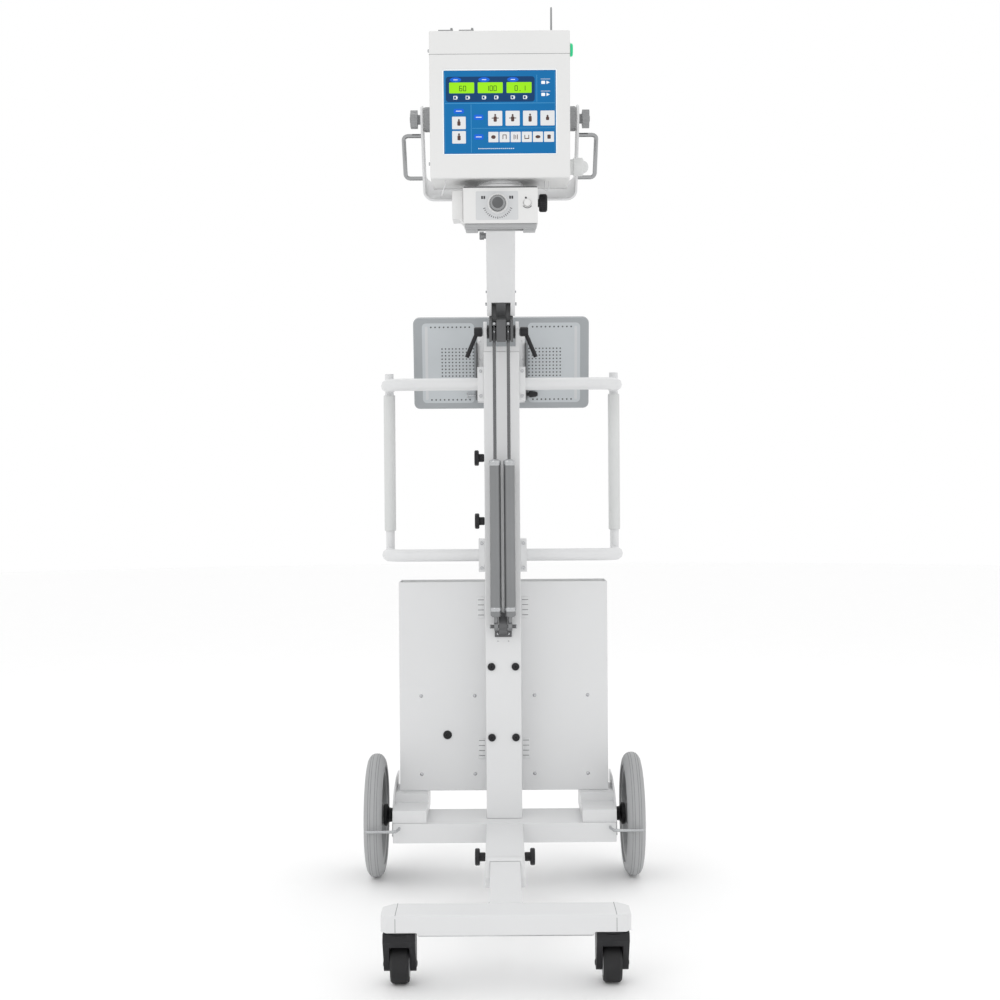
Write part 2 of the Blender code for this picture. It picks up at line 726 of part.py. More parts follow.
def touch_screen():
    """The glass of the control screen."""
    return box(
        "touch_screen", (-SCREEN_HALF, HEAD_FRONT + 0.0004, SCREEN_LOW),
        (SCREEN_HALF, HEAD_FRONT + 0.0042, SCREEN_TOP), SCREEN_BLUE, HEAD_FRAME,
    )


def head_housing():
    """The rear housing, open to the cover, with the two tilt bosses."""
    start = HEAD_SPLIT + GAP
    shell = box(
        "head_housing", (-HEAD_HALF, start, HEAD_LOW), (HEAD_HALF, HEAD_BACK, HEAD_TOP), WARM_WHITE,
        HEAD_FRAME,
    )
    hollow = box(
        "head_housing_hollow", (-HEAD_HALF + HEAD_WALL, start - 0.01, HEAD_LOW + HEAD_WALL),
        (HEAD_HALF - HEAD_WALL, HEAD_BACK - HEAD_WALL, HEAD_TOP - HEAD_WALL), None, HEAD_FRAME,
    )
    cut(shell, hollow)
    for ending, sign in sides():
        far = sign * (YOKE_HALF - YOKE_PLATE - GAP)
        boss = rod(
            "head_boss_" + ending, 0.0245, (sign * (HEAD_HALF - 0.001), 0, 0), (far, 0, 0), None,
            HEAD_FRAME, 32,
        )
        join(shell, boss)
    port = rod(
        "head_port", 0.030, (0, -0.019, HEAD_LOW - 0.01), (0, -0.019, HEAD_LOW + 0.01), None,
        HEAD_FRAME, 32,
    )
    switch = rod(
        "head_switch_hole", 0.0146, (HEAD_HALF - 0.02, -0.052, 0.136), (HEAD_HALF + 0.02, -0.052, 0.136),
        None, HEAD_FRAME, 32,
    )
    cut(shell, port, switch)
    return set_origin(shell, TILT_AXIS)


def xray_tank():
    """The x-ray generator tank that stands over the port inside the head."""
    floor = HEAD_LOW + HEAD_WALL + GAP
    return box("xray_tank", (-0.062, -0.070, floor), (0.062, 0.040, floor + 0.135), LEAD, HEAD_FRAME)


def collar():
    """The bright ring between the head and the collimator."""
    frame = HEAD_FRAME @ Matrix.Translation((0, -0.019, HEAD_LOW - GAP))
    profile = [
        (0.031, 0), (COLLAR_R - 0.006, 0), (COLLAR_R - 0.006, -0.006), (COLLAR_R, -0.008),
        (COLLAR_R, -0.014), (COLLAR_R - 0.004, -COLLAR_H), (0.031, -COLLAR_H),
    ]
    return ring("collar", profile, CHROME, frame, 40)


def collimator():
    """The beam-limiting box with its open beam path."""
    made = box(
        "collimator", (-COLLIMATOR_HALF, COLLIMATOR_FRONT, COLLIMATOR_LOW),
        (COLLIMATOR_HALF, COLLIMATOR_BACK, COLLIMATOR_TOP), WARM_WHITE, HEAD_FRAME,
    )
    path = box(
        "collimator_path", (-0.028, -0.047, COLLIMATOR_LOW - 0.01), (0.028, 0.009, COLLIMATOR_TOP + 0.01),
        None, HEAD_FRAME,
    )
    socket = rod(
        "collimator_socket", 0.0084, (0.0575, COLLIMATOR_FRONT - 0.01, COLLIMATOR_TOP - 0.0320),
        (0.0575, COLLIMATOR_FRONT + 0.005, COLLIMATOR_TOP - 0.0320), None, HEAD_FRAME, 28,
    )
    return cut(made, path, socket)


def lamp_housing():
    """The box on the collimator's left side that holds the field lamp."""
    near = -COLLIMATOR_HALF - GAP
    far = near - 0.024
    top = COLLIMATOR_TOP - 0.002
    low = top - 0.062
    outline = [(far, top), (far, low), (near - 0.008, low), (near, low - 0.008), (near, top)]
    turn = Matrix(((1, 0, 0, 0), (0, 0, -1, 0), (0, 1, 0, 0), (0, 0, 0, 1)))
    return plate("lamp_housing", outline, -0.030, 0.066, WARM_WHITE, HEAD_FRAME @ turn)


def front_dial():
    """The grey shutter dial on the collimator's front."""
    place = Vector((-0.0060, COLLIMATOR_FRONT - GAP, COLLIMATOR_TOP - 0.0330))
    frame = HEAD_FRAME @ Matrix.Translation(place) @ Matrix.Rotation(pi / 2, 4, "X")
    profile = [
        (0, 0.014), (0.0145, 0.014), (0.0160, 0.0125), (0.0170, 0.002), (0.0170, 0), (0, 0),
    ]
    return turned("front_dial", profile, GREY, frame, 32)


def side_knob():
    """The black shutter knob on the collimator's right side."""
    place = Vector((COLLIMATOR_HALF + GAP, -0.030, COLLIMATOR_TOP - 0.027))
    frame = HEAD_FRAME @ Matrix.Translation(place) @ Matrix.Rotation(pi / 2, 4, "Y")
    profile = [
        (0, 0.0215), (0.0165, 0.0215), (0.0185, 0.0195), (0.0185, 0.005), (0.0170, 0.0035),
        (0.0090, 0.0035), (0.0090, 0), (0, 0),
    ]
    return turned("side_knob", profile, BLACK, frame, 28)


def lamp_button():
    """The push button that lights the field lamp."""
    place = Vector((0.0575, COLLIMATOR_FRONT - GAP, COLLIMATOR_TOP - 0.0320))
    frame = HEAD_FRAME @ Matrix.Translation(place) @ Matrix.Rotation(pi / 2, 4, "X")
    profile = [(0, 0.006), (0.0062, 0.006), (0.0078, 0.0045), (0.0078, -0.001), (0, -0.001)]
    return turned("lamp_button", profile, WARM_WHITE, frame, 24)


def power_button():
    """The green-lit push button on the head's right side."""
    place = Vector((HEAD_HALF + GAP, -0.052, 0.136))
    frame = HEAD_FRAME @ Matrix.Translation(place) @ Matrix.Rotation(pi / 2, 4, "Y")
    profile = [(0, 0.008), (0.0120, 0.008), (0.0140, 0.006), (0.0140, -0.002), (0, -0.002)]
    return turned("power_button", profile, GREEN, frame, 28)


def side_plug():
    """The domed connector low on the head's right side."""
    place = Vector((HEAD_HALF + GAP, -0.056, -0.112))
    frame = HEAD_FRAME @ Matrix.Translation(place) @ Matrix.Rotation(pi / 2, 4, "Y")
    dome = [(0.013 * cos(radians(a)), 0.031 + 0.010 * sin(radians(a))) for a in (90, 60, 30, 0)]
    dome[0] = (0, dome[0][1])
    profile = [
        *dome, (0.0175, 0.029), (0.0195, 0.027), (0.0195, 0.009), (0.0165, 0.007), (0.0165, 0), (0, 0),
    ]
    return turned("side_plug", profile, GREY, frame, 32)


def antenna():
    """The short whip on the head's top."""
    place = Vector((0.1120, -0.030, HEAD_TOP + GAP))
    frame = HEAD_FRAME @ Matrix.Translation(place)
    profile = [
        (0, 0.064), (0.0014, 0.064), (0.0020, 0.062), (0.0022, 0.009), (0.0042, 0.008),
        (0.0055, 0.0), (0, 0),
    ]
    return turned("antenna", profile, GREY, frame, 16)


# ------------------------------------------------- handles, monitor and bin

def side_handle(ending, sign):
    """Two rails from the column joined by a thinner upright, with their clamp blocks."""
    name = "side_handle_" + ending
    near = sign * (COLUMN_W / 2 + GAP)
    bend = 0.042
    routes = []
    for z in (RAIL_LOW_Z, RAIL_TOP_Z):
        corner = [
            (x, y, z)
            for x, y in arc(sign * (RAIL_X - bend), COLUMN_Y + bend, bend, -90, -90 + sign * 90, 5)
        ]
        routes.append([(near, COLUMN_Y, z), *corner, (sign * RAIL_X, GRIP_Y + 0.012, z)])
    made = tube(name, routes[0], RAIL_R, WHITE)
    upper = tube(name + "_upper", routes[1], RAIL_R, None)
    upright = rod(
        name + "_upright", GRIP_ROD_R, (sign * RAIL_X, GRIP_Y, RAIL_LOW_Z),
        (sign * RAIL_X, GRIP_Y, RAIL_TOP_Z + 0.034), None, sides=20,
    )
    join(made, upright, upper)
    for label, z in (("low", RAIL_LOW_Z), ("top", RAIL_TOP_Z)):
        a, b = sorted((near, near + sign * 0.015))
        block = box(
            f"{name}_{label}_block", (a, COLUMN_Y - 0.026, z - 0.040),
            (b, COLUMN_Y + 0.026, z + 0.040), None,
        )
        join(made, block)
    return made


def handle_grip(ending, sign):
    """The plastic sleeve on a handle's upright."""
    frame = Matrix.Translation((sign * RAIL_X, GRIP_Y, 0))
    low, high = 0.849, RAIL_TOP_Z - RAIL_R - 0.004
    inner = GRIP_ROD_R + GAP
    profile = [
        (inner, high), (GRIP_R - 0.001, high), (GRIP_R, high - 0.002), (GRIP_R, low + 0.002),
        (GRIP_R - 0.001, low), (inner, low),
    ]
    return ring("handle_grip_" + ending, profile, GRIP_GREY, frame, 24)


def monitor_bracket():
    """The arm from the column's back to the monitor's hinge barrel."""
    back = COLUMN_Y + COLUMN_D / 2 + GAP
    hinge = MONITOR_HINGE
    made = box(
        "monitor_bracket", (-0.030, back, hinge.z - 0.055), (0.030, back + 0.008, hinge.z + 0.020), WHITE,
    )
    strut = box(
        "monitor_strut", (-0.018, back + 0.004, hinge.z - 0.010), (0.018, hinge.y, hinge.z + 0.010), None,
    )
    barrel = rod("monitor_barrel", 0.0125, (-0.030, *hinge.yz), (0.030, *hinge.yz), None)
    bore = rod("monitor_bore", 0.0040 + RUN, (-0.05, *hinge.yz), (0.05, *hinge.yz), None)
    join(made, strut, barrel)
    return cut(made, bore)


def monitor_mount():
    """The plate on the monitor's back, with two cheeks and the hinge pin."""
    made = box("monitor_mount", (-0.045, 0.0140, -0.045), (0.045, 0.0175, 0.045), DARK, MONITOR_FRAME)
    for ending, sign in sides():
        a, b = sorted((sign * 0.0305, sign * 0.0350))
        cheek = box("monitor_cheek_" + ending, (a, -0.011, -0.011), (b, 0.0150, 0.011), None, MONITOR_FRAME)
        join(made, cheek)
    pin = rod("monitor_pin", 0.0040, (-0.038, 0, 0), (0.038, 0, 0), None, MONITOR_FRAME)
    join(made, pin)
    return set_origin(made, MONITOR_HINGE)


def round_panel(name, inset, near, far, finish):
    """A panel with round corners, from near to far behind the monitor's hinge."""
    x = MONITOR_HALF - inset
    low = MONITOR_LOW + inset
    top = MONITOR_TOP - inset
    r = MONITOR_CORNER - inset * 0.5
    outline = [
        *arc(x - r, top - r, r, 0, 90, 4), *arc(-x + r, top - r, r, 90, 180, 4),
        *arc(-x + r, low + r, r, 180, 270, 4), *arc(x - r, low + r, r, 270, 360, 4),
    ]
    turn = Matrix(((-1, 0, 0, 0), (0, 0, 1, 0), (0, 1, 0, 0), (0, 0, 0, 1)))
    return plate(name, outline, near, far, finish, MONITOR_FRAME @ turn)


def monitor():
    """The panel computer: a back shell, a frame and the glass."""
    half, low, top = MONITOR_HALF, MONITOR_LOW, MONITOR_TOP
    face, rear, front = 0.0178, 0.0460, 0.0570
    shell = round_panel("monitor_back", 0, face, rear, WARM_WHITE)
    cut(shell, round_panel("monitor_back_hollow", 0.003, face + 0.003, rear + 0.01, None))
    frame = round_panel("monitor_frame", 0, rear + GAP, front, GREY)
    recess = box(
        "monitor_recess", (-half + 0.012, front - 0.004, low + 0.016),
        (half - 0.012, front + 0.01, top - 0.012),
        None, MONITOR_FRAME,
    )
    cut(frame, recess)
    glass_low = (-half + 0.012 + GAP, front - 0.004 + GAP, low + 0.016 + GAP)
    glass_high = (half - 0.012 - GAP, front - 0.0005, top - 0.012 - GAP)
    box("monitor_glass", glass_low, glass_high, GLASS, MONITOR_FRAME)
    for piece in (shell, frame):
        set_origin(piece, MONITOR_HINGE)


def detector_bin():
    """The open-topped bin for the flat-panel detector."""
    front = COLUMN_Y + COLUMN_D / 2 + GAP
    back = front + BIN_D
    made = box("detector_bin", (-BIN_HALF, front, BIN_LOW), (BIN_HALF, back, BIN_TOP), WHITE)
    inside = box(
        "detector_bin_inside", (-BIN_HALF + BIN_WALL, front + BIN_WALL, BIN_LOW + BIN_WALL),
        (BIN_HALF - BIN_WALL, back - BIN_WALL, BIN_TOP + 0.01), None,
    )
    return cut(made, inside)


def build():
    """Every sub-part of the unit."""
    front_bar()
    front_leg()
    centre_beam()
    rear_crossbar()
    column()
    hinge_clevis()
    hinge_shaft()
    spring_foot()
    arm_bracket()
    arm_tube()
    arm_plunger()
    yoke()
    head_cover()
    touch_screen()
    head_housing()
    xray_tank()
    collar()
    collimator()
    lamp_housing()
    front_dial()
    side_knob()
    lamp_button()
    power_button()
    side_plug()
    antenna()
    monitor_bracket()
    monitor_mount()
    monitor()
    detector_bin()
    for ending, sign in sides():
        axle_block(ending, sign)
        rear_wheel(ending, sign)
        caster(ending, sign)
        clamp_lever(ending, sign)
        gas_spring(ending, sign)
        yoke_handle(ending, sign)
        tilt_knob(ending, sign)
        side_handle(ending, sign)
        handle_grip(ending, sign)
        beam_side = sign * (COLUMN_W / 2 + GAP)
        t_knob("leg_knob_" + ending, (beam_side, COLUMN_Y - 0.305, 0.130), sign)
    for label, z in (("upper", 1.029), ("lower", 0.875)):
        t_knob("column_knob_" + label, (-COLUMN_W / 2 - GAP, COLUMN_Y, z), -1)


build()
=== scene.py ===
"""The looks of a mobile x-ray unit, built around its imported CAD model.

The CAD nodes keep their meshes and places, and get materials and softened edges. The pieces added
here are small fittings, lines and labels, and each rides on the body that it is fixed to. Lengths
are in metres, except on the touch screen's page, which is laid out in millimetres.
"""

import json
from math import cos, pi, radians, sin

import bmesh
import bpy
from mathutils import Matrix, Vector


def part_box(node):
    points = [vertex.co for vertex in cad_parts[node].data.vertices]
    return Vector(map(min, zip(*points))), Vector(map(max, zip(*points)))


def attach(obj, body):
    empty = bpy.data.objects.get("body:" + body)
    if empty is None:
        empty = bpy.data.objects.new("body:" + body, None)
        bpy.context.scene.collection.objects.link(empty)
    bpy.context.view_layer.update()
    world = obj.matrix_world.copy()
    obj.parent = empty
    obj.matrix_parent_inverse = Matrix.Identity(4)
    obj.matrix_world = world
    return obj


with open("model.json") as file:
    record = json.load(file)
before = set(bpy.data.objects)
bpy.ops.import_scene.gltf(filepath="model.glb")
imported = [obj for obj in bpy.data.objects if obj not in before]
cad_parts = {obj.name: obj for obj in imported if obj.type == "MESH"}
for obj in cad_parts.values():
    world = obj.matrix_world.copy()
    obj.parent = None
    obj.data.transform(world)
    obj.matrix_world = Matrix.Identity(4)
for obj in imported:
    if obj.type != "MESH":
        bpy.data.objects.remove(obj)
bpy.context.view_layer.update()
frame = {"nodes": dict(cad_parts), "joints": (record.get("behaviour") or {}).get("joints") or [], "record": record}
RECORD = frame["record"]
JOINTS = {j["name"]: j for j in frame["joints"]}
SIDES = (("left", -1), ("right", 1))
CREASE = radians(38)    # an edge that turns more than this stays sharp
SUNK = -0.0003          # how deep a fitting's base sits in the surface under it
SHEET = 0.00006         # one layer of the touch screen's page


def place_of(joint):
    """The point that a hinge turns about."""
    return Vector(JOINTS[joint]["pos_m"])


def leaning(joint, degrees):
    """The frame of a leaning body, at its hinge."""
    return Matrix.Translation(place_of(joint)) @ Matrix.Rotation(radians(degrees), 4, "X")


WORLD = Matrix.Identity(4)
HEAD = leaning("head_tilt", 4)
ARM = leaning("arm_pitch", 40)
MONITOR = leaning("monitor_tilt", 10)
COLUMN_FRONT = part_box("column")[0].y
COLUMN_Y = (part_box("column")[0].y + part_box("column")[1].y) / 2
BIN_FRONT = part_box("detector_bin")[0].y
BAR_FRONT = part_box("front_bar")[0].y

# In the head's frame
FACE = -0.103           # the front face
REAR = 0.087            # the back face
HALF_HEAD = 0.149       # from the middle to either side
SCREEN = -0.1026        # the touch screen's glass
COLLIMATOR_FACE = -0.084
COLLIMATOR_TOP = -0.1581
COLLIMATOR_LOW = -0.2331

# In the monitor's frame
PANEL_BACK = 0.0178     # the pressed side, which the photograph shows
BEZEL = 0.0570          # the rim round the screen

# ------------------------------------------------------------------ materials


def material(name, colour, rough, metallic=0.0, shade=0.05, grain=260.0, bump=0.05, coat=0.0,
             glow=0.0, spread=0.06, shine=0.5):
    """A Principled material with noise, in the piece's own space, in its colour, gloss and relief."""
    made = bpy.data.materials.new("look_" + name)
    made.use_nodes = True
    tree = made.node_tree
    shader = tree.nodes["Principled BSDF"]
    shader.inputs["Metallic"].default_value = metallic
    shader.inputs["Coat Weight"].default_value = coat
    shader.inputs["Specular IOR Level"].default_value = shine
    shader.inputs["Coat Roughness"].default_value = 0.15
    where = tree.nodes.new("ShaderNodeTexCoord")
    broad = tree.nodes.new("ShaderNodeTexNoise")
    broad.inputs["Scale"].default_value = 6.0
    broad.inputs["Detail"].default_value = 4.0
    fine = tree.nodes.new("ShaderNodeTexNoise")
    fine.inputs["Scale"].default_value = grain
    fine.inputs["Detail"].default_value = 3.0
    for noise in (broad, fine):
        tree.links.new(where.outputs["Object"], noise.inputs["Vector"])
    mix = tree.nodes.new("ShaderNodeMix")
    mix.data_type = "RGBA"
    low = [c * (1 - shade) for c in colour]
    high = [min(1.0, c * (1 + shade * 0.6)) for c in colour]
    mix.inputs["A"].default_value = (*low, 1)
    mix.inputs["B"].default_value = (*high, 1)
    tree.links.new(broad.outputs["Fac"], mix.inputs["Factor"])
    tree.links.new(mix.outputs["Result"], shader.inputs["Base Color"])
    gloss = tree.nodes.new("ShaderNodeMapRange")
    gloss.inputs["To Min"].default_value = max(0.02, rough - spread)
    gloss.inputs["To Max"].default_value = min(1.0, rough + spread)
    tree.links.new(fine.outputs["Fac"], gloss.inputs["Value"])
    tree.links.new(gloss.outputs["Result"], shader.inputs["Roughness"])
    relief = tree.nodes.new("ShaderNodeBump")
    relief.inputs["Strength"].default_value = bump
    relief.inputs["Distance"].default_value = 0.0006
    tree.links.new(fine.outputs["Fac"], relief.inputs["Height"])
    tree.links.new(relief.outputs["Normal"], shader.inputs["Normal"])
    if glow:
        tree.links.new(mix.outputs["Result"], shader.inputs["Emission Color"])
        shader.inputs["Emission Strength"].default_value = glow
    return made


# One look for each material slot in the record
LOOKS = {
    "white_paint": material("white_paint", (0.72, 0.725, 0.73), 0.38, grain=420, bump=0.07,
                            coat=0.15, shade=0.03),
    "white_housing": material("white_housing", (0.75, 0.75, 0.745), 0.46, grain=900, bump=0.10,
                              shade=0.03),
    "grey_plastic": material("grey_plastic", (0.29, 0.295, 0.30), 0.45, grain=700, bump=0.10),
    "grip_plastic": material("grip_plastic", (0.66, 0.67, 0.665), 0.55, grain=800, bump=0.15),
    "black_plastic": material("black_plastic", (0.014, 0.014, 0.016), 0.42, grain=600, bump=0.12,
                              shade=0.3, shine=0.35),
    "dark_casting": material("dark_casting", (0.118, 0.120, 0.123), 0.46, 0.25, grain=500,
                             bump=0.18, shade=0.2),
    "spring_steel": material("spring_steel", (0.25, 0.255, 0.26), 0.32, 0.75, grain=160,
                             bump=0.05, shade=0.15),
    "chrome": material("chrome", (0.36, 0.365, 0.37), 0.14, 1.0, grain=120, bump=0.02,
                       spread=0.03),
    "grey_rubber": material("grey_rubber", (0.40, 0.405, 0.41), 0.72, grain=520, bump=0.25,
                            shade=0.10),
    "black_rubber": material("black_rubber", (0.018, 0.018, 0.019), 0.62, grain=520, bump=0.2,
                             shade=0.3, shine=0.35),
    "touch_screen": material("touch_screen", (0.001, 0.078, 0.205), 0.34, grain=60, bump=0.0,
                             shade=0.18, glow=1.1, shine=0.2),
    "monitor_glass": material("monitor_glass", (0.006, 0.007, 0.010), 0.10, grain=60, bump=0.0,
                              coat=0.2, shine=0.4),
    "green_light": material("green_light", (0.005, 0.36, 0.15), 0.25, glow=0.8),
    "tank_metal": material("tank_metal", (0.5, 0.5, 0.52), 0.45, 0.8),
}
PRESSED = material("monitor_pressed", (0.56, 0.59, 0.61), 0.42, 0.1, grain=340, bump=0.12,
                   shade=0.12)
BRIGHT = material("bright_collar", (0.74, 0.745, 0.75), 0.24, 0.5, grain=120, bump=0.02)
PANEL = material("monitor_panel", (0.38, 0.40, 0.415), 0.42, 0.15, grain=340, bump=0.12,
                 shade=0.10)
SHADE = material("vent_shadow", (0.085, 0.09, 0.095), 0.7, grain=300)
LINE = material("panel_seam", (0.22, 0.225, 0.23), 0.7, grain=300)
STEEL = material("screw_steel", (0.50, 0.51, 0.52), 0.24, 0.9, grain=200)
ROD = material("polished_rod", (0.155, 0.158, 0.162), 0.22, 0.9, grain=140, bump=0.02,
               spread=0.03)
LABEL = material("label_film", (0.62, 0.63, 0.64), 0.33, grain=500)
INK = material("label_ink", (0.03, 0.03, 0.035), 0.5, grain=500)
# Grey of the rails under the collimator, darkened partly to paint the shade of the collimator's downward face
RAIL_AND_UNDERSIDE_SHADE = material("filter_rail", (0.40, 0.405, 0.41), 0.42, 0.3, grain=400)


def page_look(name, colour, shade, glow=0.0):
    """A look of the touch screen's page, which shines little and may be lit."""
    return material("screen_" + name, colour, 0.34, shade=shade, glow=glow, shine=0.2)


BAND = page_look("band", (0.001, 0.026, 0.085), 0.25, 0.9)
PILL = page_look("pill", (0.004, 0.075, 0.400), 0.2, 0.8)
EDGE = page_look("line", (0.060, 0.250, 0.450), 0.2, 0.5)
LIME = page_look("readout", (0.170, 0.420, 0.004), 0.12, 1.0)
DIGIT = page_look("digit", (0.016, 0.070, 0.006), 0.1, 0.2)
KEY = page_look("key", (0.66, 0.67, 0.68), 0.06, 0.15)
FIGURE = page_look("figure", (0.100, 0.055, 0.048), 0.3)
# White marks printed on the page; the same faintly glowing look also paints a highlight along the glass's edge
WHITE_MARKS_AND_GLINT = page_look("edge", (0.82, 0.85, 0.87), 0.02, 0.12)

# The width of each softened edge; the nodes that aren't here keep theirs crisp
BEVELS = {
    "head_cover": 0.0042, "head_housing": 0.0032, "collimator": 0.0032, "lamp_housing": 0.0026,
    "arm": 0.0014, "column": 0.0014, "centre_beam": 0.0024, "front_bar": 0.0028,
    "rear_crossbar": 0.0014, "front_leg": 0.0014, "detector_bin": 0.0011, "monitor_back": 0.0014,
    "monitor_frame": 0.0030, "yoke": 0.0012, "arm_bracket": 0.0016, "hinge_clevis": 0.0016,
    "axle_block_left": 0.0016, "axle_block_right": 0.0016, "caster_fork_left": 0.0024,
    "caster_fork_right": 0.0024, "tilt_knob_left": 0.0014, "tilt_knob_right": 0.0014,
    "spring_foot": 0.0010, "monitor_mount": 0.0008, "monitor_bracket": 0.0016,
    "touch_screen": 0.0003, "monitor_glass": 0.0002, "side_handle_left": 0.0020,
    "side_handle_right": 0.0020,
}


def dress(node, look):
    """Gives a CAD node its look, with softened edges on the shown surface only."""
    obj = frame["nodes"][node]
    obj.data.materials.clear()
    obj.data.materials.append(look)
    stored = obj.data.attributes.get("custom_normal")
    if stored:
        obj.data.attributes.remove(stored)
    obj.data.shade_smooth()
    weld = obj.modifiers.new("weld", "WELD")
    weld.merge_threshold = 0.00001
    if node in BEVELS:
        soft = obj.modifiers.new("edges", "BEVEL")
        soft.width = BEVELS[node]
        soft.segments = 2
        soft.limit_method = "ANGLE"
        soft.angle_limit = CREASE
        soft.miter_outer = "MITER_ARC"
    else:
        split = obj.modifiers.new("split", "EDGE_SPLIT")
        split.split_angle = CREASE
        split.use_edge_sharp = False
    even = obj.modifiers.new("normals", "WEIGHTED_NORMAL")
    even.keep_sharp = True


for entry in RECORD["subparts"]:
    dress(entry["node"], LOOKS[entry["material_slot"]])
for node, look in (("monitor_back", PANEL), ("gas_rod_left", ROD), ("gas_rod_right", ROD),
                   ("collar", BRIGHT)):
    frame["nodes"][node].data.materials[0] = look

# --------------------------------------------------------------------- shapes


def fit(name, data, body):
    """Puts a mesh or a curve in the scene as one piece, riding on a body."""
    made = bpy.data.objects.new(name, data)
    bpy.context.scene.collection.objects.link(made)
    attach(made, body)


class Shape:
    """One piece, collected from closed forms placed in a frame."""

    def __init__(self, where=WORLD):
        self.mesh = bmesh.new()
        self.where = where

    def place(self, verts, local):
        """Moves new vertices from their local frame to the world."""
        bmesh.ops.transform(self.mesh, matrix=self.where @ local, verts=verts)

    def box(self, low, high, bevel=0.0, local=WORLD):
        """A block between two corners with rounded edges."""
        low, high = Vector(low), Vector(high)
        made = bmesh.ops.create_cube(self.mesh, size=1)["verts"]
        bmesh.ops.scale(self.mesh, vec=high - low, verts=made)
        bmesh.ops.translate(self.mesh, vec=(low + high) / 2, verts=made)
        if bevel:
            edges = list(dict.fromkeys(e for v in made for e in v.link_edges))
            cut = bmesh.ops.bevel(self.mesh, geom=edges, offset=bevel, segments=2, profile=0.5,
                                  affect="EDGES")
            verts = [v for f in cut["faces"] for v in f.verts] + [v for v in made if v.is_valid]
            made = list(dict.fromkeys(verts))
        self.place(made, local)

    def ribs(self, count, low, high, bevel):
        """The same block, spaced evenly round the local Z."""
        for i in range(count):
            self.box(low, high, bevel, Matrix.Rotation(2 * pi * i / count, 4, "Z"))

    def lathe(self, profile, local=WORLD, steps=24):
        """A profile of (radius, z) turned about the local Z; a zero radius closes it."""
        rings = []
        for radius, z in profile:
            if radius == 0:
                rings.append([self.mesh.verts.new((0, 0, z))])
                continue
            turn = [2 * pi * i / steps for i in range(steps)]
            rings.append([self.mesh.verts.new((radius * cos(a), radius * sin(a), z)) for a in turn])
        pairs = list(zip(rings, rings[1:]))
        if profile[0][0] and profile[-1][0]:
            pairs.append((rings[-1], rings[0]))
        for a, b in pairs:
            for i in range(steps):
                j = (i + 1) % steps
                corners = [a[i % len(a)], a[j % len(a)], b[j % len(b)], b[i % len(b)]]
                self.mesh.faces.new(list(dict.fromkeys(corners)))
        self.place([v for ring in rings for v in ring], local)

    def prism(self, outline, low, high, local=WORLD):
        """A flat outline in the local XY plane, solid from low to high."""
        base = [self.mesh.verts.new((x, y, low)) for x, y in outline]
        top = [self.mesh.verts.new((x, y, high)) for x, y in outline]
        self.mesh.faces.new(base[::-1])
        self.mesh.faces.new(top)
        count = len(outline)
        for i in range(count):
            j = (i + 1) % count
            self.mesh.faces.new([base[i], base[j], top[j], top[i]])
        self.place(base + top, local)

    def done(self, name, body, slot, look=None):
        """The finished piece, riding on a body, in its slot's look unless another is given."""
        bmesh.ops.recalc_face_normals(self.mesh, faces=self.mesh.faces)
        mesh = bpy.data.meshes.new(name)
        self.mesh.to_mesh(mesh)
        self.mesh.free()
        mesh.materials.append(look or LOOKS[slot])
        mesh.shade_smooth()
        mesh.set_sharp_from_angle(angle=CREASE)
        fit(name, mesh, body)


def wire(name, routes, radius, look, body):
    """Round bars along routes of points, as one piece."""
    curve = bpy.data.curves.new(name, "CURVE")
    curve.dimensions = "3D"
    curve.bevel_depth = radius
    curve.bevel_resolution = 3
    curve.use_fill_caps = True
    for route in routes:
        spline = curve.splines.new("POLY")
        spline.points.add(len(route) - 1)
        for point, place in zip(spline.points, route):
            point.co = (*place, 1)
    curve.materials.append(look)
    fit(name, curve, body)


def facing(x, y, z, towards="front"):
    """A local frame at a point whose Z looks to the front, the back, the left or the right."""
    upright = Matrix.Rotation(pi / 2, 4, "X")
    turns = {
        "front": upright, "back": Matrix.Rotation(pi, 4, "Z") @ upright,
        "left": Matrix.Rotation(-pi / 2, 4, "Y"), "right": Matrix.Rotation(pi / 2, 4, "Y"),
    }
    return Matrix.Translation((x, y, z)) @ turns[towards]


def span(sign, near, far):
    """Two distances from the middle, on one side, lowest first."""
    return sorted((sign * near, sign * far))


def disc(radius, height):
    """The profile of a low round head with a broken edge."""
    edge = 0.0004
    return [(0, height), (radius - edge, height), (radius, height - edge), (radius, SUNK), (0, SUNK)]


def dome(radius, height):
    """The profile of a domed head."""
    bow = [(radius * sin(radians(a)), height * cos(radians(a))) for a in (0, 30, 60, 80)]
    return [*bow, (radius, 0), (radius, SUNK), (0, SUNK)]


def oval(cx, cy, rx, ry, count=20):
    """An ellipse's points."""
    return [(cx + rx * cos(2 * pi * i / count), cy + ry * sin(2 * pi * i / count)) for i in range(count)]


def arc(cx, cy, r, degrees):
    """Points on a circle, at these angles."""
    return [(cx + r * cos(radians(a)), cy + r * sin(radians(a))) for a in degrees]


def rounded(x0, y0, x1, y1, r):
    """A rectangle with round corners."""
    points = []
    for cx, cy, start in ((x1 - r, y1 - r, 0), (x0 + r, y1 - r, 90), (x0 + r, y0 + r, 180),
                          (x1 - r, y0 + r, 270)):
        points += arc(cx, cy, r, [start + 90 * i / 4 for i in range(5)])
    return points


def rect(cx, cy, w, h):
    """A rectangle round a middle."""
    return [(cx - w / 2, cy - h / 2), (cx + w / 2, cy - h / 2), (cx + w / 2, cy + h / 2),
            (cx - w / 2, cy + h / 2)]


# --------------------------------------------------------------- touch screen

def sheets(name, look, outlines, level):
    """Thin sheets on the glass, as one piece; millimetres across and up from the screen's middle."""
    shape = Shape(HEAD)
    local = facing(0, SCREEN, -0.0025)
    for outline in outlines:
        points = [(x / 1000, y / 1000) for x, y in outline]
        shape.prism(points, level * SHEET, (level + 1) * SHEET + 0.00002, local)
    shape.done(name, "head", "touch_screen", look)


SEGMENTS = {"0": "abcdef", "1": "bc", "6": "acdefg", ".": "."}


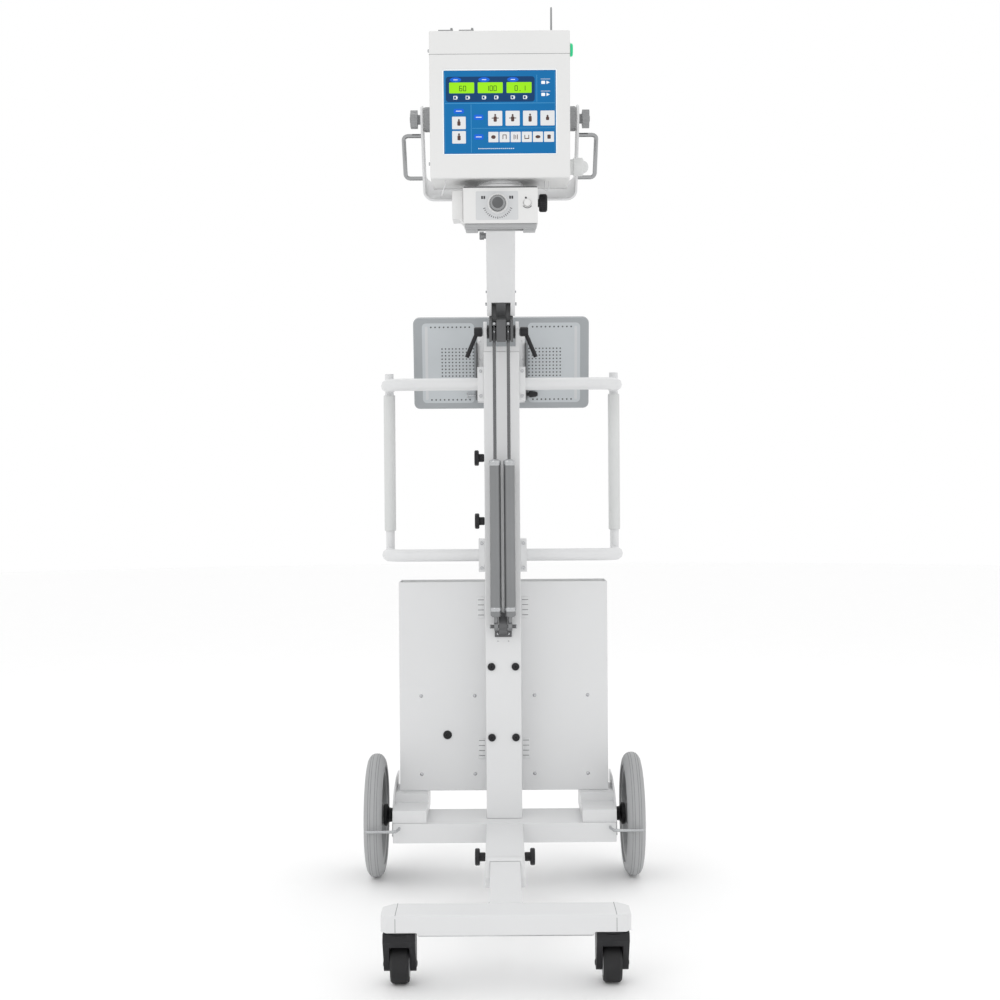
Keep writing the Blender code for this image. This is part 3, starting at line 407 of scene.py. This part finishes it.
def digit(figure, cx, cy, h):
    """The strokes of a seven-segment figure."""
    w, t = h * 0.52, h * 0.13
    spots = {
        "a": (cx, cy + h / 2, w, t), "g": (cx, cy, w, t), "d": (cx, cy - h / 2, w, t),
        "f": (cx - w / 2, cy + h / 4, t, h / 2), "b": (cx + w / 2, cy + h / 4, t, h / 2),
        "e": (cx - w / 2, cy - h / 4, t, h / 2), "c": (cx + w / 2, cy - h / 4, t, h / 2),
        ".": (cx, cy - h / 2, t * 1.3, t * 1.3),
    }
    return [rect(*spots[key]) for key in SEGMENTS[figure]]


def touch_screen():
    """The lit control page: readouts, keys and their small marks, and a painted highlight, with a faint glow,
    along the glass's edge.
    """
    readouts = (-80.5, -20.0, 41.0)
    sheets("screen_band", BAND, [rounded(-114, 21.5, 74, 74, 6)], 0)
    lines = [rect(0, 18.5, 233, 0.9), rect(78.5, 49, 0.8, 56), rect(-61, -34, 0.7, 100),
             rect(29, -33.5, 176, 0.6), rect(-116.8, 0, 0.6, 166), rect(116.8, 0, 0.6, 166)]
    sheets("screen_lines", EDGE, lines, 1)
    pills = [oval(x - 13, 67.5, 12, 5) for x in readouts]
    pills += [rounded(-98, -2.5, -76, 7.5, 3), rounded(-55, -16, -35, -5, 3),
              rounded(-55, -57, -35, -46, 3)]
    sheets("screen_pills", PILL, pills, 2)
    sheets("screen_readouts", LIME, [rounded(x - 26.5, 39.5, x + 26.5, 62, 1.5) for x in readouts], 2)
    strokes = []
    pitch = 8.2
    for x, text in zip(readouts, ("60", "100", "0.1")):
        for i, figure in enumerate(text):
            strokes += digit(figure, x + pitch * (i - (len(text) - 1) / 2) + 2, 49.5, 10)
    sheets("screen_digits", DIGIT, strokes, 3)
    steppers = ((-87, -22), (-87, -52))
    tops = [(-10 + 37 * i, -13) for i in range(4)]
    lows = [(-14 + 23.6 * i, -52) for i in range(6)]
    keys = [rounded(x - 14.5, y - 13, x + 14.5, y + 13, 1.5) for x, y in steppers]
    keys += [rounded(x - 15, y - 15.5, x + 15, y + 15.5, 1.5) for x, y in tops]
    keys += [rounded(x - 10.6, y - 10.8, x + 10.6, y + 10.8, 1.2) for x, y in lows]
    sheets("screen_keys", KEY, keys, 2)
    marks = []
    for i, ((x, y), tall) in enumerate(zip((*steppers, *tops), (8.0, 8.5, 9.5, 9.0, 10.0, 6.0))):
        marks += [oval(x, y + tall * 0.72, 2.1, 2.4, 10),
                  rounded(x - 3.4, y - tall * 0.75, x + 3.4, y + tall * 0.45, 2.0)]
        if i in (2, 3):
            marks += [rect(x, y + 0.5, 15, 1.8)]
    for i, (x, y) in enumerate(lows):
        marks += [
            [oval(x, y, 5, 4, 12)],
            [rect(x - 3.5, y, 1.6, 9), rect(x + 3.5, y, 1.6, 9), rect(x, y + 4.4, 8, 1.5)],
            [rect(x - 3.5, y, 1.6, 10), rect(x + 3.5, y, 1.6, 10), rect(x, y, 1.2, 8)],
            [rect(x, y - 3.5, 10, 1.8), rect(x - 4.2, y, 1.6, 8), rect(x + 4.2, y, 1.6, 8)],
            [oval(x, y, 5.5, 3.4, 12)],
            [rounded(x - 3.6, y - 4.4, x + 3.6, y + 4.4, 1.5)],
        ][i]
    sheets("screen_figures", FIGURE, marks, 3)
    ticks = []
    for x in readouts:
        for dx in (-17, 9):
            ticks += [rect(x + dx, 30.5, 1.2, 7.5), rect(x + dx + 4, 33.6, 6.5, 1.2),
                      rect(x + dx + 4, 27.4, 6.5, 1.2), rect(x + dx + 6.5, 30.5, 3.2, 4.2)]
        ticks += [rect(x - 13, 67.5, 9, 1.3)]
    for y in (61, 36):
        ticks += [rounded(88, y - 3.2, 96, y + 3.2, 1), [(99, y - 3.4), (106, y), (99, y + 3.4)],
                  rect(97, y + 7, 20, 0.7)]
    ticks += [rect(-87, 2.5, 12, 1.4), rect(-45, -10.5, 12, 1.4), rect(-45, -51.5, 12, 1.4)]
    ticks += [rect(-45 + 4.3 * i, -76, 2.6, 1.5) for i in range(18)]
    sheets("screen_marks", WHITE_MARKS_AND_GLINT, ticks, 3)
    # Painted highlight: thin bright, faintly glowing strips along the edge of the glass
    edge = Shape(HEAD)
    for low, high in (
        ((-0.1212, 0.0844), (0.1212, 0.0865)), ((-0.1212, -0.0915), (0.1212, -0.0894)),
        ((-0.1212, -0.0915), (-0.1189, 0.0865)), ((0.1189, -0.0915), (0.1212, 0.0865)),
    ):
        edge.box((low[0], FACE - 0.0006, low[1]), (high[0], FACE + 0.0010, high[1]), 0.0003)
    edge.done("screen_edge", "head", "white_housing", WHITE_MARKS_AND_GLINT)


# --------------------------------------------------------------- head details

def head_details():
    """Seams, screws, tilt discs, sockets, vents, the power light's ring and the wire stays."""
    seam = Shape(HEAD)
    seam.box((-0.1492, FACE - 0.00025, 0.1178), (0.1492, FACE + 0.0005, 0.1186), 0.0001)
    for _, sign in SIDES:
        a, b = span(sign, 0.1486, 0.14925)
        seam.box((a, FACE, 0.1178), (b, -0.079, 0.1186), 0.0001)
    seam.done("head_seam", "head", "white_housing", LINE)
    screws = Shape(HEAD)
    for z in (0.128, -0.108):
        screws.lathe([(0, 0.0034), (0.0028, 0.0034), (0.0036, 0.0026), (0.0036, SUNK), (0, SUNK)],
                     facing(-HALF_HEAD, -0.090, z, "left"), 16)
    rear, fore = [(0.070, 0.150), (0.070, -0.122)], [(-0.060, 0.150), (-0.060, -0.128)]
    for side, sign, spots in (("left", -1, rear + fore), ("right", 1, rear)):
        for y, z in spots:
            screws.lathe(dome(0.0034, 0.0016), facing(sign * HALF_HEAD, y, z, side), 16)
    for x in (-0.132, 0.132):
        for z in (-0.124, 0.150):
            screws.lathe(dome(0.0036, 0.0016), facing(x, REAR, z, "back"), 16)
    screws.done("head_screws", "head", "chrome", STEEL)
    for side, _ in SIDES:
        collar = Shape(HEAD @ facing(0, 0, 0, side))
        collar.lathe([(0.0246, 0.1655), (0.0256, 0.1655), (0.0262, 0.1648), (0.0262, 0.1500),
                      (0.0256, 0.1493), (0.0246, 0.1493)], WORLD, 48)
        collar.ribs(24, (0.0258, -0.0009, 0.1515), (0.0267, 0.0009, 0.1635), 0.0003)
        collar.done("tilt_disc_" + side, "head", "grey_plastic")
    tops = Shape(HEAD)
    for x0, x1 in ((-0.130, -0.098), (-0.086, -0.054)):
        tops.box((x0, -0.086, 0.1668), (x1, -0.070, 0.1728), 0.0010)
        tops.box((x1 - 0.006, -0.083, 0.1720), (x1 - 0.001, -0.073, 0.1772), 0.0010)
    tops.done("top_sockets", "head", "grey_plastic")
    vents = Shape(HEAD)
    back = facing(0, REAR, 0, "back")
    for row in range(9):
        z = -0.060 + 0.009 * row
        for x in (-0.078, 0.012):
            slit = rounded(x, z - 0.0018, x + 0.066, z + 0.0018, 0.0016)
            vents.prism(slit, 0.0001, 0.0004, back)
    vents.done("rear_vents", "head", "black_plastic", SHADE)
    socket = Shape(HEAD)
    socket.prism(rounded(-0.045, 0.060, 0.045, 0.112, 0.004), SUNK, 0.0016, back)
    socket.lathe(disc(0.0125, 0.006), facing(-0.022, 0.0883, 0.086, "back"), 28)
    socket.lathe(disc(0.0085, 0.008), facing(0.020, 0.0883, 0.086, "back"), 24)
    socket.done("rear_socket_panel", "head", "grey_plastic")
    guard = Shape(HEAD @ facing(HALF_HEAD, -0.052, 0.136, "right"))
    guard.lathe([(0.0150, 0.0022), (0.0172, 0.0022), (0.0178, 0.0014), (0.0178, -0.0002),
                 (0.0150, -0.0002)], WORLD, 36)
    guard.done("power_ring", "head", "grey_plastic")
    stays = (
        ((-0.1180, -0.060, -0.139), (-0.1190, -0.062, -0.150), (-0.1270, -0.050, -0.170)),
        ((0.096, -0.050, -0.139), (0.096, -0.050, -0.158), (0.100, -0.050, -0.162),
         (0.105, -0.050, -0.158), (0.105, -0.050, -0.139)),
    )
    wire("head_stays", [[HEAD @ Vector(p) for p in stay] for stay in stays], 0.0012,
         LOOKS["white_paint"], "head")


def collimator_details():
    """The label, scale, symbols, dial, rails and window of the collimator; the top rails are dark partly to paint
    the shade in the gap under the head, and the under rails grey partly to paint the shade of the collimator's
    underside.
    """
    front = facing(0, COLLIMATOR_FACE, 0)
    film = Shape(HEAD)
    film.prism(rounded(-0.0530, -0.2260, 0.0380, -0.1655, 0.003), -0.0002, 0.0004, front)
    film.done("collimator_label", "head", "white_housing", LABEL)
    ink = Shape(HEAD)
    cx, cz = -0.0060, COLLIMATOR_TOP - 0.0330
    dial = front @ Matrix.Translation((cx, cz, 0))
    for i in range(17):
        long = 0.0050 if i % 4 == 0 else 0.0034
        turn = dial @ Matrix.Rotation(radians(200 + 140 * i / 16), 4, "Z")
        ink.box((0.0305 - long / 2, -0.00065, 0.0002), (0.0305 + long / 2, 0.00065, 0.0007), 0.0, turn)
    for x in (cx - 0.0310, cx + 0.0290):
        ink.prism(rounded(x - 0.0042, -0.1817, x - 0.0006, -0.1753, 0.0008), 0.0002, 0.0007, front)
        ink.prism(rounded(x + 0.0006, -0.1817, x + 0.0042, -0.1753, 0.0008), 0.0002, 0.0007, front)
    ink.lathe(disc(0.0022, 0.0006), front @ Matrix.Translation((0.0545, -0.1795, 0)), 14)
    bow = arc(0.0575, -0.1901, 0.0105, range(215, 326, 10))
    bow += arc(0.0575, -0.1901, 0.0118, range(325, 214, -10))
    ink.prism(bow, 0.0002, 0.0006, front)
    ink.done("collimator_marks", "head", "black_plastic", INK)
    ring = Shape(HEAD @ front @ Matrix.Translation((cx, cz, 0)))
    ring.lathe([(0.0180, 0.0022), (0.0205, 0.0018), (0.0215, 0.0006), (0.0215, -0.0002),
                (0.0180, -0.0002)], WORLD, 40)
    ring.done("dial_collar", "head", "white_housing")
    pad = Shape(HEAD @ front @ Matrix.Translation((cx, cz, 0.0143)))
    pad.lathe([(0, 0.0008), (0.0110, 0.0008), (0.0118, 0.0002), (0.0118, -0.0006), (0, -0.0006)],
              WORLD, 32)
    pad.ribs(30, (0.0158, -0.0005, -0.0125), (0.0172, 0.0005, -0.0020), 0.0003)
    pad.done("dial_knurl", "dial", "dark_casting")
    side = Shape(HEAD @ facing(0.0803, -0.030, COLLIMATOR_TOP - 0.027, "right"))
    side.ribs(24, (0.0178, -0.0008, 0.0060), (0.0194, 0.0008, 0.0190), 0.0004)
    side.done("side_knob_ribs", "shutter_knob", "black_plastic")
    # A thin dark plate on the collimator's top; its dark colour also paints the shadow in the gap between head and
    # collimator
    rails = Shape(HEAD)
    top = COLLIMATOR_TOP
    rails.box((-0.0790, -0.0835, top - 0.0004), (0.0790, -0.0750, top + 0.0030), 0.0008)
    for _, sign in SIDES:
        a, b = span(sign, 0.0580, 0.0790)
        rails.box((a, -0.0750, top - 0.0004), (b, 0.0440, top + 0.0030), 0.0008)
    rails.done("collimator_top_plate_and_gap_shade", "head", "dark_casting")
    # Rails under the collimator; their grey partly paints the shade on the collimator's downward face
    under = Shape(HEAD)
    low = COLLIMATOR_LOW
    under.box((-0.0770, -0.0800, low - 0.0090), (0.0770, -0.0500, low + 0.0004), 0.0016)
    for _, sign in SIDES:
        a, b = span(sign, 0.0500, 0.0770)
        under.box((a, -0.0502, low - 0.0090), (b, 0.0420, low + 0.0004), 0.0016)
    under.box((-0.0500, 0.0300, low - 0.0050), (0.0500, 0.0420, low + 0.0004), 0.0012)
    under.done("filter_rails", "head", "grey_plastic", RAIL_AND_UNDERSIDE_SHADE)
    window = Shape(HEAD)
    window.box((-0.0279, -0.0469, low + 0.0030), (0.0279, 0.0089, low + 0.0050), 0.0003)
    window.done("beam_window", "head", "monitor_glass")


# ------------------------------------------------------------ stand's details

def fasteners():
    """Screw heads on the column, bin, handles and spring foot, black caps and the foot's plate."""
    heads = Shape()
    for x in (-0.204, -0.0716, 0.0761, 0.2077):
        for z in (0.4420, 0.2480):
            heads.lathe(dome(0.0044, 0.0024), facing(x, BIN_FRONT, z), 18)
    for side, sign in SIDES:
        for z in (0.762, 0.822, 1.179, 1.239):
            heads.lathe(disc(0.0042, 0.0030), facing(sign * 0.0508, COLUMN_Y - 0.026, z), 6)
            heads.lathe(disc(0.0042, 0.0030), facing(sign * 0.0508, COLUMN_Y + 0.026, z, "back"), 6)
        x = sign * 0.0130
        heads.lathe(dome(0.0030, 0.0016), facing(x, COLUMN_FRONT - 0.0042, 0.6035), 16)
        heads.lathe(dome(0.0016, 0.0008), facing(x, COLUMN_FRONT, 0.5850), 12)
        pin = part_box("spring_foot")
        heads.lathe(dome(0.0058, 0.0022), facing(sign * 0.031, pin[0].y + 0.0111, 0.624, side), 18)
    heads.done("stand_screws", "stand", "chrome", STEEL)
    caps = Shape()
    for x in (-0.029, 0.029):
        for z in (0.5233, 0.3518):
            caps.lathe([(0, 0.0022), (0.0034, 0.0022), (0.0040, 0.0050), (0.0074, 0.0050),
                        (0.0092, 0.0036), (0.0095, 0.0010), (0.0095, SUNK), (0, SUNK)],
                       facing(x, COLUMN_FRONT, z), 24)
    caps.lathe([(0, 0.0016), (0.0050, 0.0016), (0.0056, 0.0040), (0.0092, 0.0036),
                (0.0108, 0.0018), (0.0108, SUNK), (0, SUNK)], facing(-0.1395, BIN_FRONT, 0.3453), 28)
    caps.done("stand_caps", "stand", "black_plastic")
    foot = Shape()
    foot.box((-0.0205, COLUMN_FRONT - 0.0042, 0.5955), (0.0205, COLUMN_FRONT + 0.0002, 0.6115), 0.0010)
    foot.done("spring_foot_plate", "stand", "dark_casting")


def bin_details():
    """Hanger brackets beside the column, and a lining and rubber pads inside the bin."""
    plates, slots = Shape(), Shape()
    for _, sign in SIDES:
        for z0, z1 in ((0.634, 0.686), (0.286, 0.336)):
            a, b = span(sign, 0.0435, 0.0640)
            plates.box((a, BIN_FRONT - 0.0026, z0), (b, BIN_FRONT + 0.0002, z1), 0.0008)
            a, b = span(sign, 0.0470, 0.0620)
            for i in range(4):
                z = z0 + 0.007 + i * 0.0125
                slots.box((a, BIN_FRONT - 0.0030, z), (b, BIN_FRONT - 0.0020, z + 0.0016), 0.0003)
    plates.done("bin_brackets", "stand", "white_paint")
    slots.done("bin_bracket_slots", "stand", "grey_plastic", LINE)
    low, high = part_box("detector_bin")
    lip = Shape()
    wall, thick = 0.0025, 0.0022
    for y0, y1 in ((low.y + wall, low.y + wall + thick), (high.y - wall - thick, high.y - wall)):
        lip.box((low.x + wall, y0, high.z - 0.022), (high.x - wall, y1, high.z - 0.0030), 0.0009)
    lip.done("bin_lining", "stand", "grip_plastic")
    foam = Shape()
    for x in (-0.19, 0.19):
        foam.box((x - 0.045, low.y + 0.004, low.z + 0.0027), (x + 0.045, high.y - 0.004, low.z + 0.0090),
                 0.0020)
    foam.done("bin_pads", "stand", "black_rubber")


def wheel_details():
    """Hubs, rim ribs, tyre lines, brake rods, and the casters' trims, bolts and discs."""
    axle = place_of("wheel_roll_right")
    for ending, sign in SIDES:
        wheel = facing(0, axle.y, axle.z, ending)
        hub = Shape(wheel)
        hub.lathe([(0.0092, 0.2965), (0.0260, 0.2965), (0.0270, 0.2955), (0.0270, 0.2890),
                   (0.0180, 0.2840), (0.0165, 0.2765), (0.0092, 0.2765)], WORLD, 32)
        hub.lathe([(0.0092, 0.3462), (0.0150, 0.3462), (0.0215, 0.3440), (0.0232, 0.3410),
                   (0.0236, 0.3362), (0.0092, 0.3362)], WORLD, 32)
        hub.done("hub_" + ending, "wheel_" + ending, "black_plastic")
        ribs = Shape(wheel)
        for i in range(5):
            turn = Matrix.Rotation(2 * pi * i / 5, 4, "Z")
            for level in (0.3193, 0.3098):
                ribs.box((0.0280, -0.0065, level - 0.0012), (0.1030, 0.0065, level + 0.0016), 0.0010, turn)
        ribs.done("rim_ribs_" + ending, "wheel_" + ending, "grey_plastic")
        tread = Shape(wheel)
        for z, r in ((0.3045, 0.1466), (0.3256, 0.1466), (0.3100, 0.1488), (0.3200, 0.1488)):
            tread.lathe([(r - 0.0012, z + 0.0005), (r + 0.0006, z + 0.0005), (r + 0.0006, z - 0.0005),
                         (r - 0.0012, z - 0.0005)], WORLD, 96)
        tread.done("tyre_lines_" + ending, "wheel_" + ending, "grey_rubber", LINE)
        y = axle.y - 0.150 - 0.009      # a wheel's radius and a gap ahead of the axle
        route = [(sign * x, at, 0.145) for x, at in (
            (0.2520, COLUMN_Y - 0.090), (0.2520, COLUMN_Y - 0.104), (0.2580, y + 0.004), (0.2650, y),
            (0.3290, y))]
        wire("brake_rod_" + ending, [route], 0.0034, STEEL, "stand")
        swivel = place_of("caster_swivel_" + ending)
        trim = Shape(Matrix.Translation(swivel))
        trim.lathe([(0.0292, -0.0010), (0.0312, -0.0016), (0.0316, -0.0040), (0.0300, -0.0062),
                    (0.0292, -0.0062)], WORLD, 40)
        trim.lathe([(0.0292, -0.0078), (0.0304, -0.0082), (0.0304, -0.0108), (0.0292, -0.0112)],
                   WORLD, 40)
        trim.done("caster_trim_" + ending, "fork_" + ending, "black_plastic")
        roll = place_of("caster_roll_" + ending)
        bolts, discs = Shape(), Shape()
        for side, way in SIDES:
            bolts.lathe(dome(0.0070, 0.0022), facing(roll.x + way * 0.0315, roll.y, roll.z, side), 20)
            discs.lathe([(0, 0.0008), (0.0240, 0.0008), (0.0255, 0.0002), (0.0255, -0.0004),
                         (0, -0.0004)], facing(roll.x + way * 0.0180, roll.y, roll.z, side), 32)
        bolts.done("caster_bolts_" + ending, "fork_" + ending, "black_plastic")
        discs.done("caster_discs_" + ending, "roller_" + ending, "grey_plastic")


def front_details():
    """The seams of the bar's end caps and the leg's screws."""
    seams = Shape()
    for x in (-0.2115, 0.2115):
        x0, x1 = x - 0.0005, x + 0.0005
        seams.box((x0, BAR_FRONT - 0.00015, 0.1135), (x1, BAR_FRONT + 0.0004, 0.1400), 0.0001)
        seams.box((x0, BAR_FRONT + 0.001, 0.1458), (x1, BAR_FRONT + 0.0845, 0.14625), 0.0001)
    seams.done("bar_seams", "front_frame", "grey_plastic", LINE)
    domes = Shape()
    low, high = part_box("front_leg")
    half = (high.x - low.x) / 2
    for side, sign in SIDES:
        where = facing(sign * half, low.y + 0.060, (low.z + high.z) / 2, side)
        domes.lathe(dome(0.0042, 0.0020), where, 16)
    domes.done("leg_screws", "front_frame", "chrome", STEEL)


def arm_details():
    """The arm's bolts, the gas springs' fittings, and the yoke's ring, screws, flanges and caps."""
    bolts = Shape(ARM)
    for side, sign in SIDES:
        bolts.lathe(disc(0.0044, 0.0040), facing(sign * 0.0335, -0.006, 0.084, side), 6)
        bolts.lathe(disc(0.0032, 0.0030), facing(sign * 0.0335, 0.010, 0.108, side), 6)
    bolts.done("arm_bolts", "arm_body", "chrome", STEEL)
    for ending, _ in SIDES:
        low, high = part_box("gas_cylinder_" + ending)
        x, y = (low.x + high.x) / 2, (low.y + high.y) / 2
        top = high.z
        collars = Shape(Matrix.Translation((x, y, 0)))
        collars.lathe([(0.0137, top - 0.0010), (0.0143, top - 0.0022), (0.0143, top - 0.0120),
                       (0.0137, top - 0.0132)], WORLD, 32)
        collars.lathe([(0.0137, 0.6700), (0.0141, 0.6694), (0.0141, 0.6612), (0.0137, 0.6606)], WORLD, 32)
        collars.lathe([(0.0050, top + 0.0016), (0.0078, top + 0.0016), (0.0092, top - 0.0004),
                       (0.0050, top - 0.0004)], WORLD, 28)
        collars.done("cylinder_collars_" + ending, "stand", "chrome", STEEL)
        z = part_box("gas_rod_" + ending)[1].z - 0.0068       # the middle of the rod's eye
        nuts = Shape()
        for side, way in SIDES:
            nuts.lathe(disc(0.0030, 0.0006), facing(x + way * 0.0045, y, z, side), 16)
        nuts.lathe(disc(0.0034, 0.0022), facing(x, y - 0.0060, z), 16)
        nuts.lathe(dome(0.0032, 0.0020), facing(x, y - 0.0062, z - 0.0190), 16)
        nuts.done("rod_nuts_" + ending, "rod_" + ending, "chrome", STEEL)
        sleeve = Shape(Matrix.Translation((x, y, 0)))
        sleeve.lathe([(0.0036, z - 0.0090), (0.0060, z - 0.0090), (0.0066, z - 0.0100),
                      (0.0066, z - 0.0260), (0.0060, z - 0.0270), (0.0060, z - 0.0390),
                      (0.0052, z - 0.0400), (0.0036, z - 0.0400)], WORLD, 24)
        sleeve.done("rod_sleeve_" + ending, "rod_" + ending, "dark_casting")
    ring = Shape(ARM)
    ring.lathe([(0.0292, 0.3790), (0.0312, 0.3790), (0.0318, 0.3775), (0.0318, 0.3715),
                (0.0292, 0.3705)], WORLD, 40)
    ring.done("swivel_ring", "yoke_body", "grey_plastic")
    plates = Shape(ARM)
    for x in (-0.042, 0.042):
        for y in (-0.024, 0.024):
            plates.lathe(dome(0.0042, 0.0022), Matrix.Translation((x, y, 0.385)), 18)
    plates.done("yoke_screws", "yoke_body", "chrome", STEEL)
    ends = Shape(ARM)
    for side, sign in SIDES:
        for t in (0.4165, 0.5205):
            ends.lathe([(0.0050, 0.0016), (0.0082, 0.0016), (0.0088, 0.0006), (0.0088, -0.0002),
                        (0.0050, -0.0002)], facing(sign * 0.1725, 0, t, side), 24)
    ends.done("handle_flanges", "yoke_body", "chrome", STEEL)
    for side, _ in SIDES:
        face = Shape(Matrix.Translation(place_of("head_tilt")) @ facing(0, 0, 0, side))
        face.lathe([(0, 0.1966), (0.0062, 0.1966), (0.0072, 0.1956), (0.0072, 0.1945), (0, 0.1945)],
                   WORLD, 24)
        face.done("tilt_knob_cap_" + side, "tilt_screw_" + side, "dark_casting")


def monitor_details():
    """The pressed back with its holes, rails, knob and latch, and the bezel's keys and lamp."""
    back = facing(0, PANEL_BACK, 0)
    press = Shape(MONITOR)
    raised = 0.0009
    for corner, lift, inset in ((0.010, 0.0005, 0.0), (0.007, raised, 0.006)):
        for x0, x1 in ((-0.200 + inset, -0.068), (0.068, 0.200 - inset)):
            press.prism(rounded(x0, -0.092 + inset, x1, 0.110 - inset, corner), -0.0002, lift, back)
    press.done("monitor_pressing", "monitor", "grey_plastic", PRESSED)
    beads = Shape(MONITOR)
    for _, sign in SIDES:
        a, b = span(sign, 0.1855, 0.1925)
        beads.prism(rounded(a, -0.084, b, 0.102, 0.0030), 0.0006, 0.0013, back)
    beads.done("monitor_beads", "monitor", "grey_plastic", LABEL)
    holes = Shape(MONITOR)
    for _, sign in SIDES:
        spots = []
        for i in range(10):
            for j in range(9):
                x, z = -0.0396 + 0.0088 * i, -0.0344 + 0.0086 * j
                if (x / 0.046) ** 4 + (z / 0.041) ** 4 < 1.1:
                    spots.append(oval(sign * (0.1100 + x), 0.0110 + z, 0.0020, 0.0020, 8))
        for i in range(10):
            for z in (0.1000, -0.0840):
                spots.append(oval(sign * (0.0800 + 0.0108 * i), z, 0.0022, 0.0022, 8))
        for spot in spots:
            holes.prism(spot, raised - 0.0001, raised + 0.00025, back)
    holes.done("monitor_perforations", "monitor", "black_plastic", SHADE)
    cheeks, pads = Shape(MONITOR), Shape(MONITOR)
    for _, sign in SIDES:       # domes first: faces made after a bevel are stored in a varying order
        for z in (-0.080, -0.030, 0.020, 0.066):
            pads.lathe(dome(0.0028, 0.0014), facing(sign * 0.0525, 0.0120, z), 14)
    for _, sign in SIDES:
        a, b = span(sign, 0.0600, 0.0640)
        cheeks.box((a, 0.0020, -0.084), (b, 0.0176, 0.060), 0.0009)
        a, b = span(sign, 0.0450, 0.0600)
        pads.box((a, 0.0120, -0.092), (b, PANEL_BACK, 0.078), 0.0012)
    cheeks.done("monitor_cheeks", "monitor", "dark_casting")
    pads.done("monitor_rails", "monitor", "white_paint")
    knob = Shape(MONITOR @ facing(0, 0.0080, -0.0700, "right"))
    knob.lathe([(0, 0.0925), (0.0046, 0.0915), (0.0072, 0.0860), (0.0082, 0.0740), (0.0078, 0.0700),
                (0.0045, 0.0690), (0.0045, 0.0636), (0, 0.0636)], WORLD, 28)
    knob.done("monitor_knob", "monitor", "black_plastic")
    hook = Shape(MONITOR)
    hook.box((-0.0880, 0.0050, -0.0790), (-0.0845, 0.0110, -0.0650), 0.0012)
    hook.box((-0.0860, 0.0060, -0.0735), (-0.0640, 0.0090, -0.0700), 0.0010)
    hook.done("monitor_latch", "monitor", "chrome", STEEL)
    keys = Shape(MONITOR)
    for i in range(5):
        x = 0.150 + 0.011 * i
        key = rounded(x - 0.0035, -0.1010, x + 0.0035, -0.0975, 0.0012)
        keys.prism(key, -0.0002, 0.0004, facing(0, BEZEL, 0, "back"))
    keys.done("monitor_keys", "monitor", "black_plastic")
    lamp = Shape(MONITOR)
    lamp.lathe(dome(0.0012, 0.0006), facing(-0.135, BEZEL, -0.0992, "back"), 12)
    lamp.done("monitor_lamp", "monitor", "green_light")


# --------------------------------------------------------------------- studio

EYE = (-0.0056, -3.30386, 0.975)    # where the photograph was taken from
PITCH, ROLL = -0.776, -0.41         # degrees that its camera leans
FOCAL = 1.476                       # its focal length, over the picture's width
SENSOR = 36
FLOOR_DROP = 0.0006                 # keeps the floor clear of the wheels
LAMPS = (                           # name, place, size and watts
    ("key", (-2.4, -3.0, 3.4), 2.2, 14),
    ("fill", (2.8, -2.4, 1.8), 2.4, 3),
    ("top", (0.2, 1.6, 3.8), 2.6, 12),
)
LAMP_AIM = Vector((0, 0, 1.0))


def studio():
    """A pale floor, soft light and a camera at the photograph's angle."""
    scene = bpy.context.scene
    mesh = bpy.data.meshes.new("floor")
    shape = bmesh.new()
    bmesh.ops.create_circle(shape, cap_ends=True, segments=64, radius=14)
    shape.to_mesh(mesh)
    shape.free()
    floor = bpy.data.objects.new("floor", mesh)
    scene.collection.objects.link(floor)
    floor.location.z = -FLOOR_DROP
    mesh.materials.append(material("floor", (0.985, 0.985, 0.985), 0.8, grain=30, bump=0.0, shade=0.01))
    world = bpy.data.worlds.new("studio")
    world.use_nodes = True
    sky = world.node_tree.nodes["Background"]
    sky.inputs["Color"].default_value = (1.0, 1.0, 1.0, 1)
    sky.inputs["Strength"].default_value = 1.0
    scene.world = world
    # White paint stays apart from the white backdrop under this one
    scene.view_settings.view_transform = "Standard"
    for name, place, size, power in LAMPS:
        data = bpy.data.lights.new(name, "AREA")
        data.size = size
        data.energy = power
        lamp = bpy.data.objects.new(name, data)
        scene.collection.objects.link(lamp)
        lamp.location = place
        aim = LAMP_AIM - Vector(place)
        lamp.rotation_euler = aim.to_track_quat("-Z", "Y").to_euler()
    data = bpy.data.cameras.new("camera")
    data.sensor_width = SENSOR
    data.lens = FOCAL * SENSOR
    camera = bpy.data.objects.new("camera", data)
    scene.collection.objects.link(camera)
    pitch = Matrix.Rotation(radians(90 + PITCH), 4, "X")
    roll = Matrix.Rotation(radians(ROLL), 4, "Z")
    camera.matrix_world = Matrix.Translation(EYE) @ pitch @ roll
    scene.camera = camera


touch_screen()
head_details()
collimator_details()
fasteners()
bin_details()
wheel_details()
front_details()
arm_details()
monitor_details()
studio()
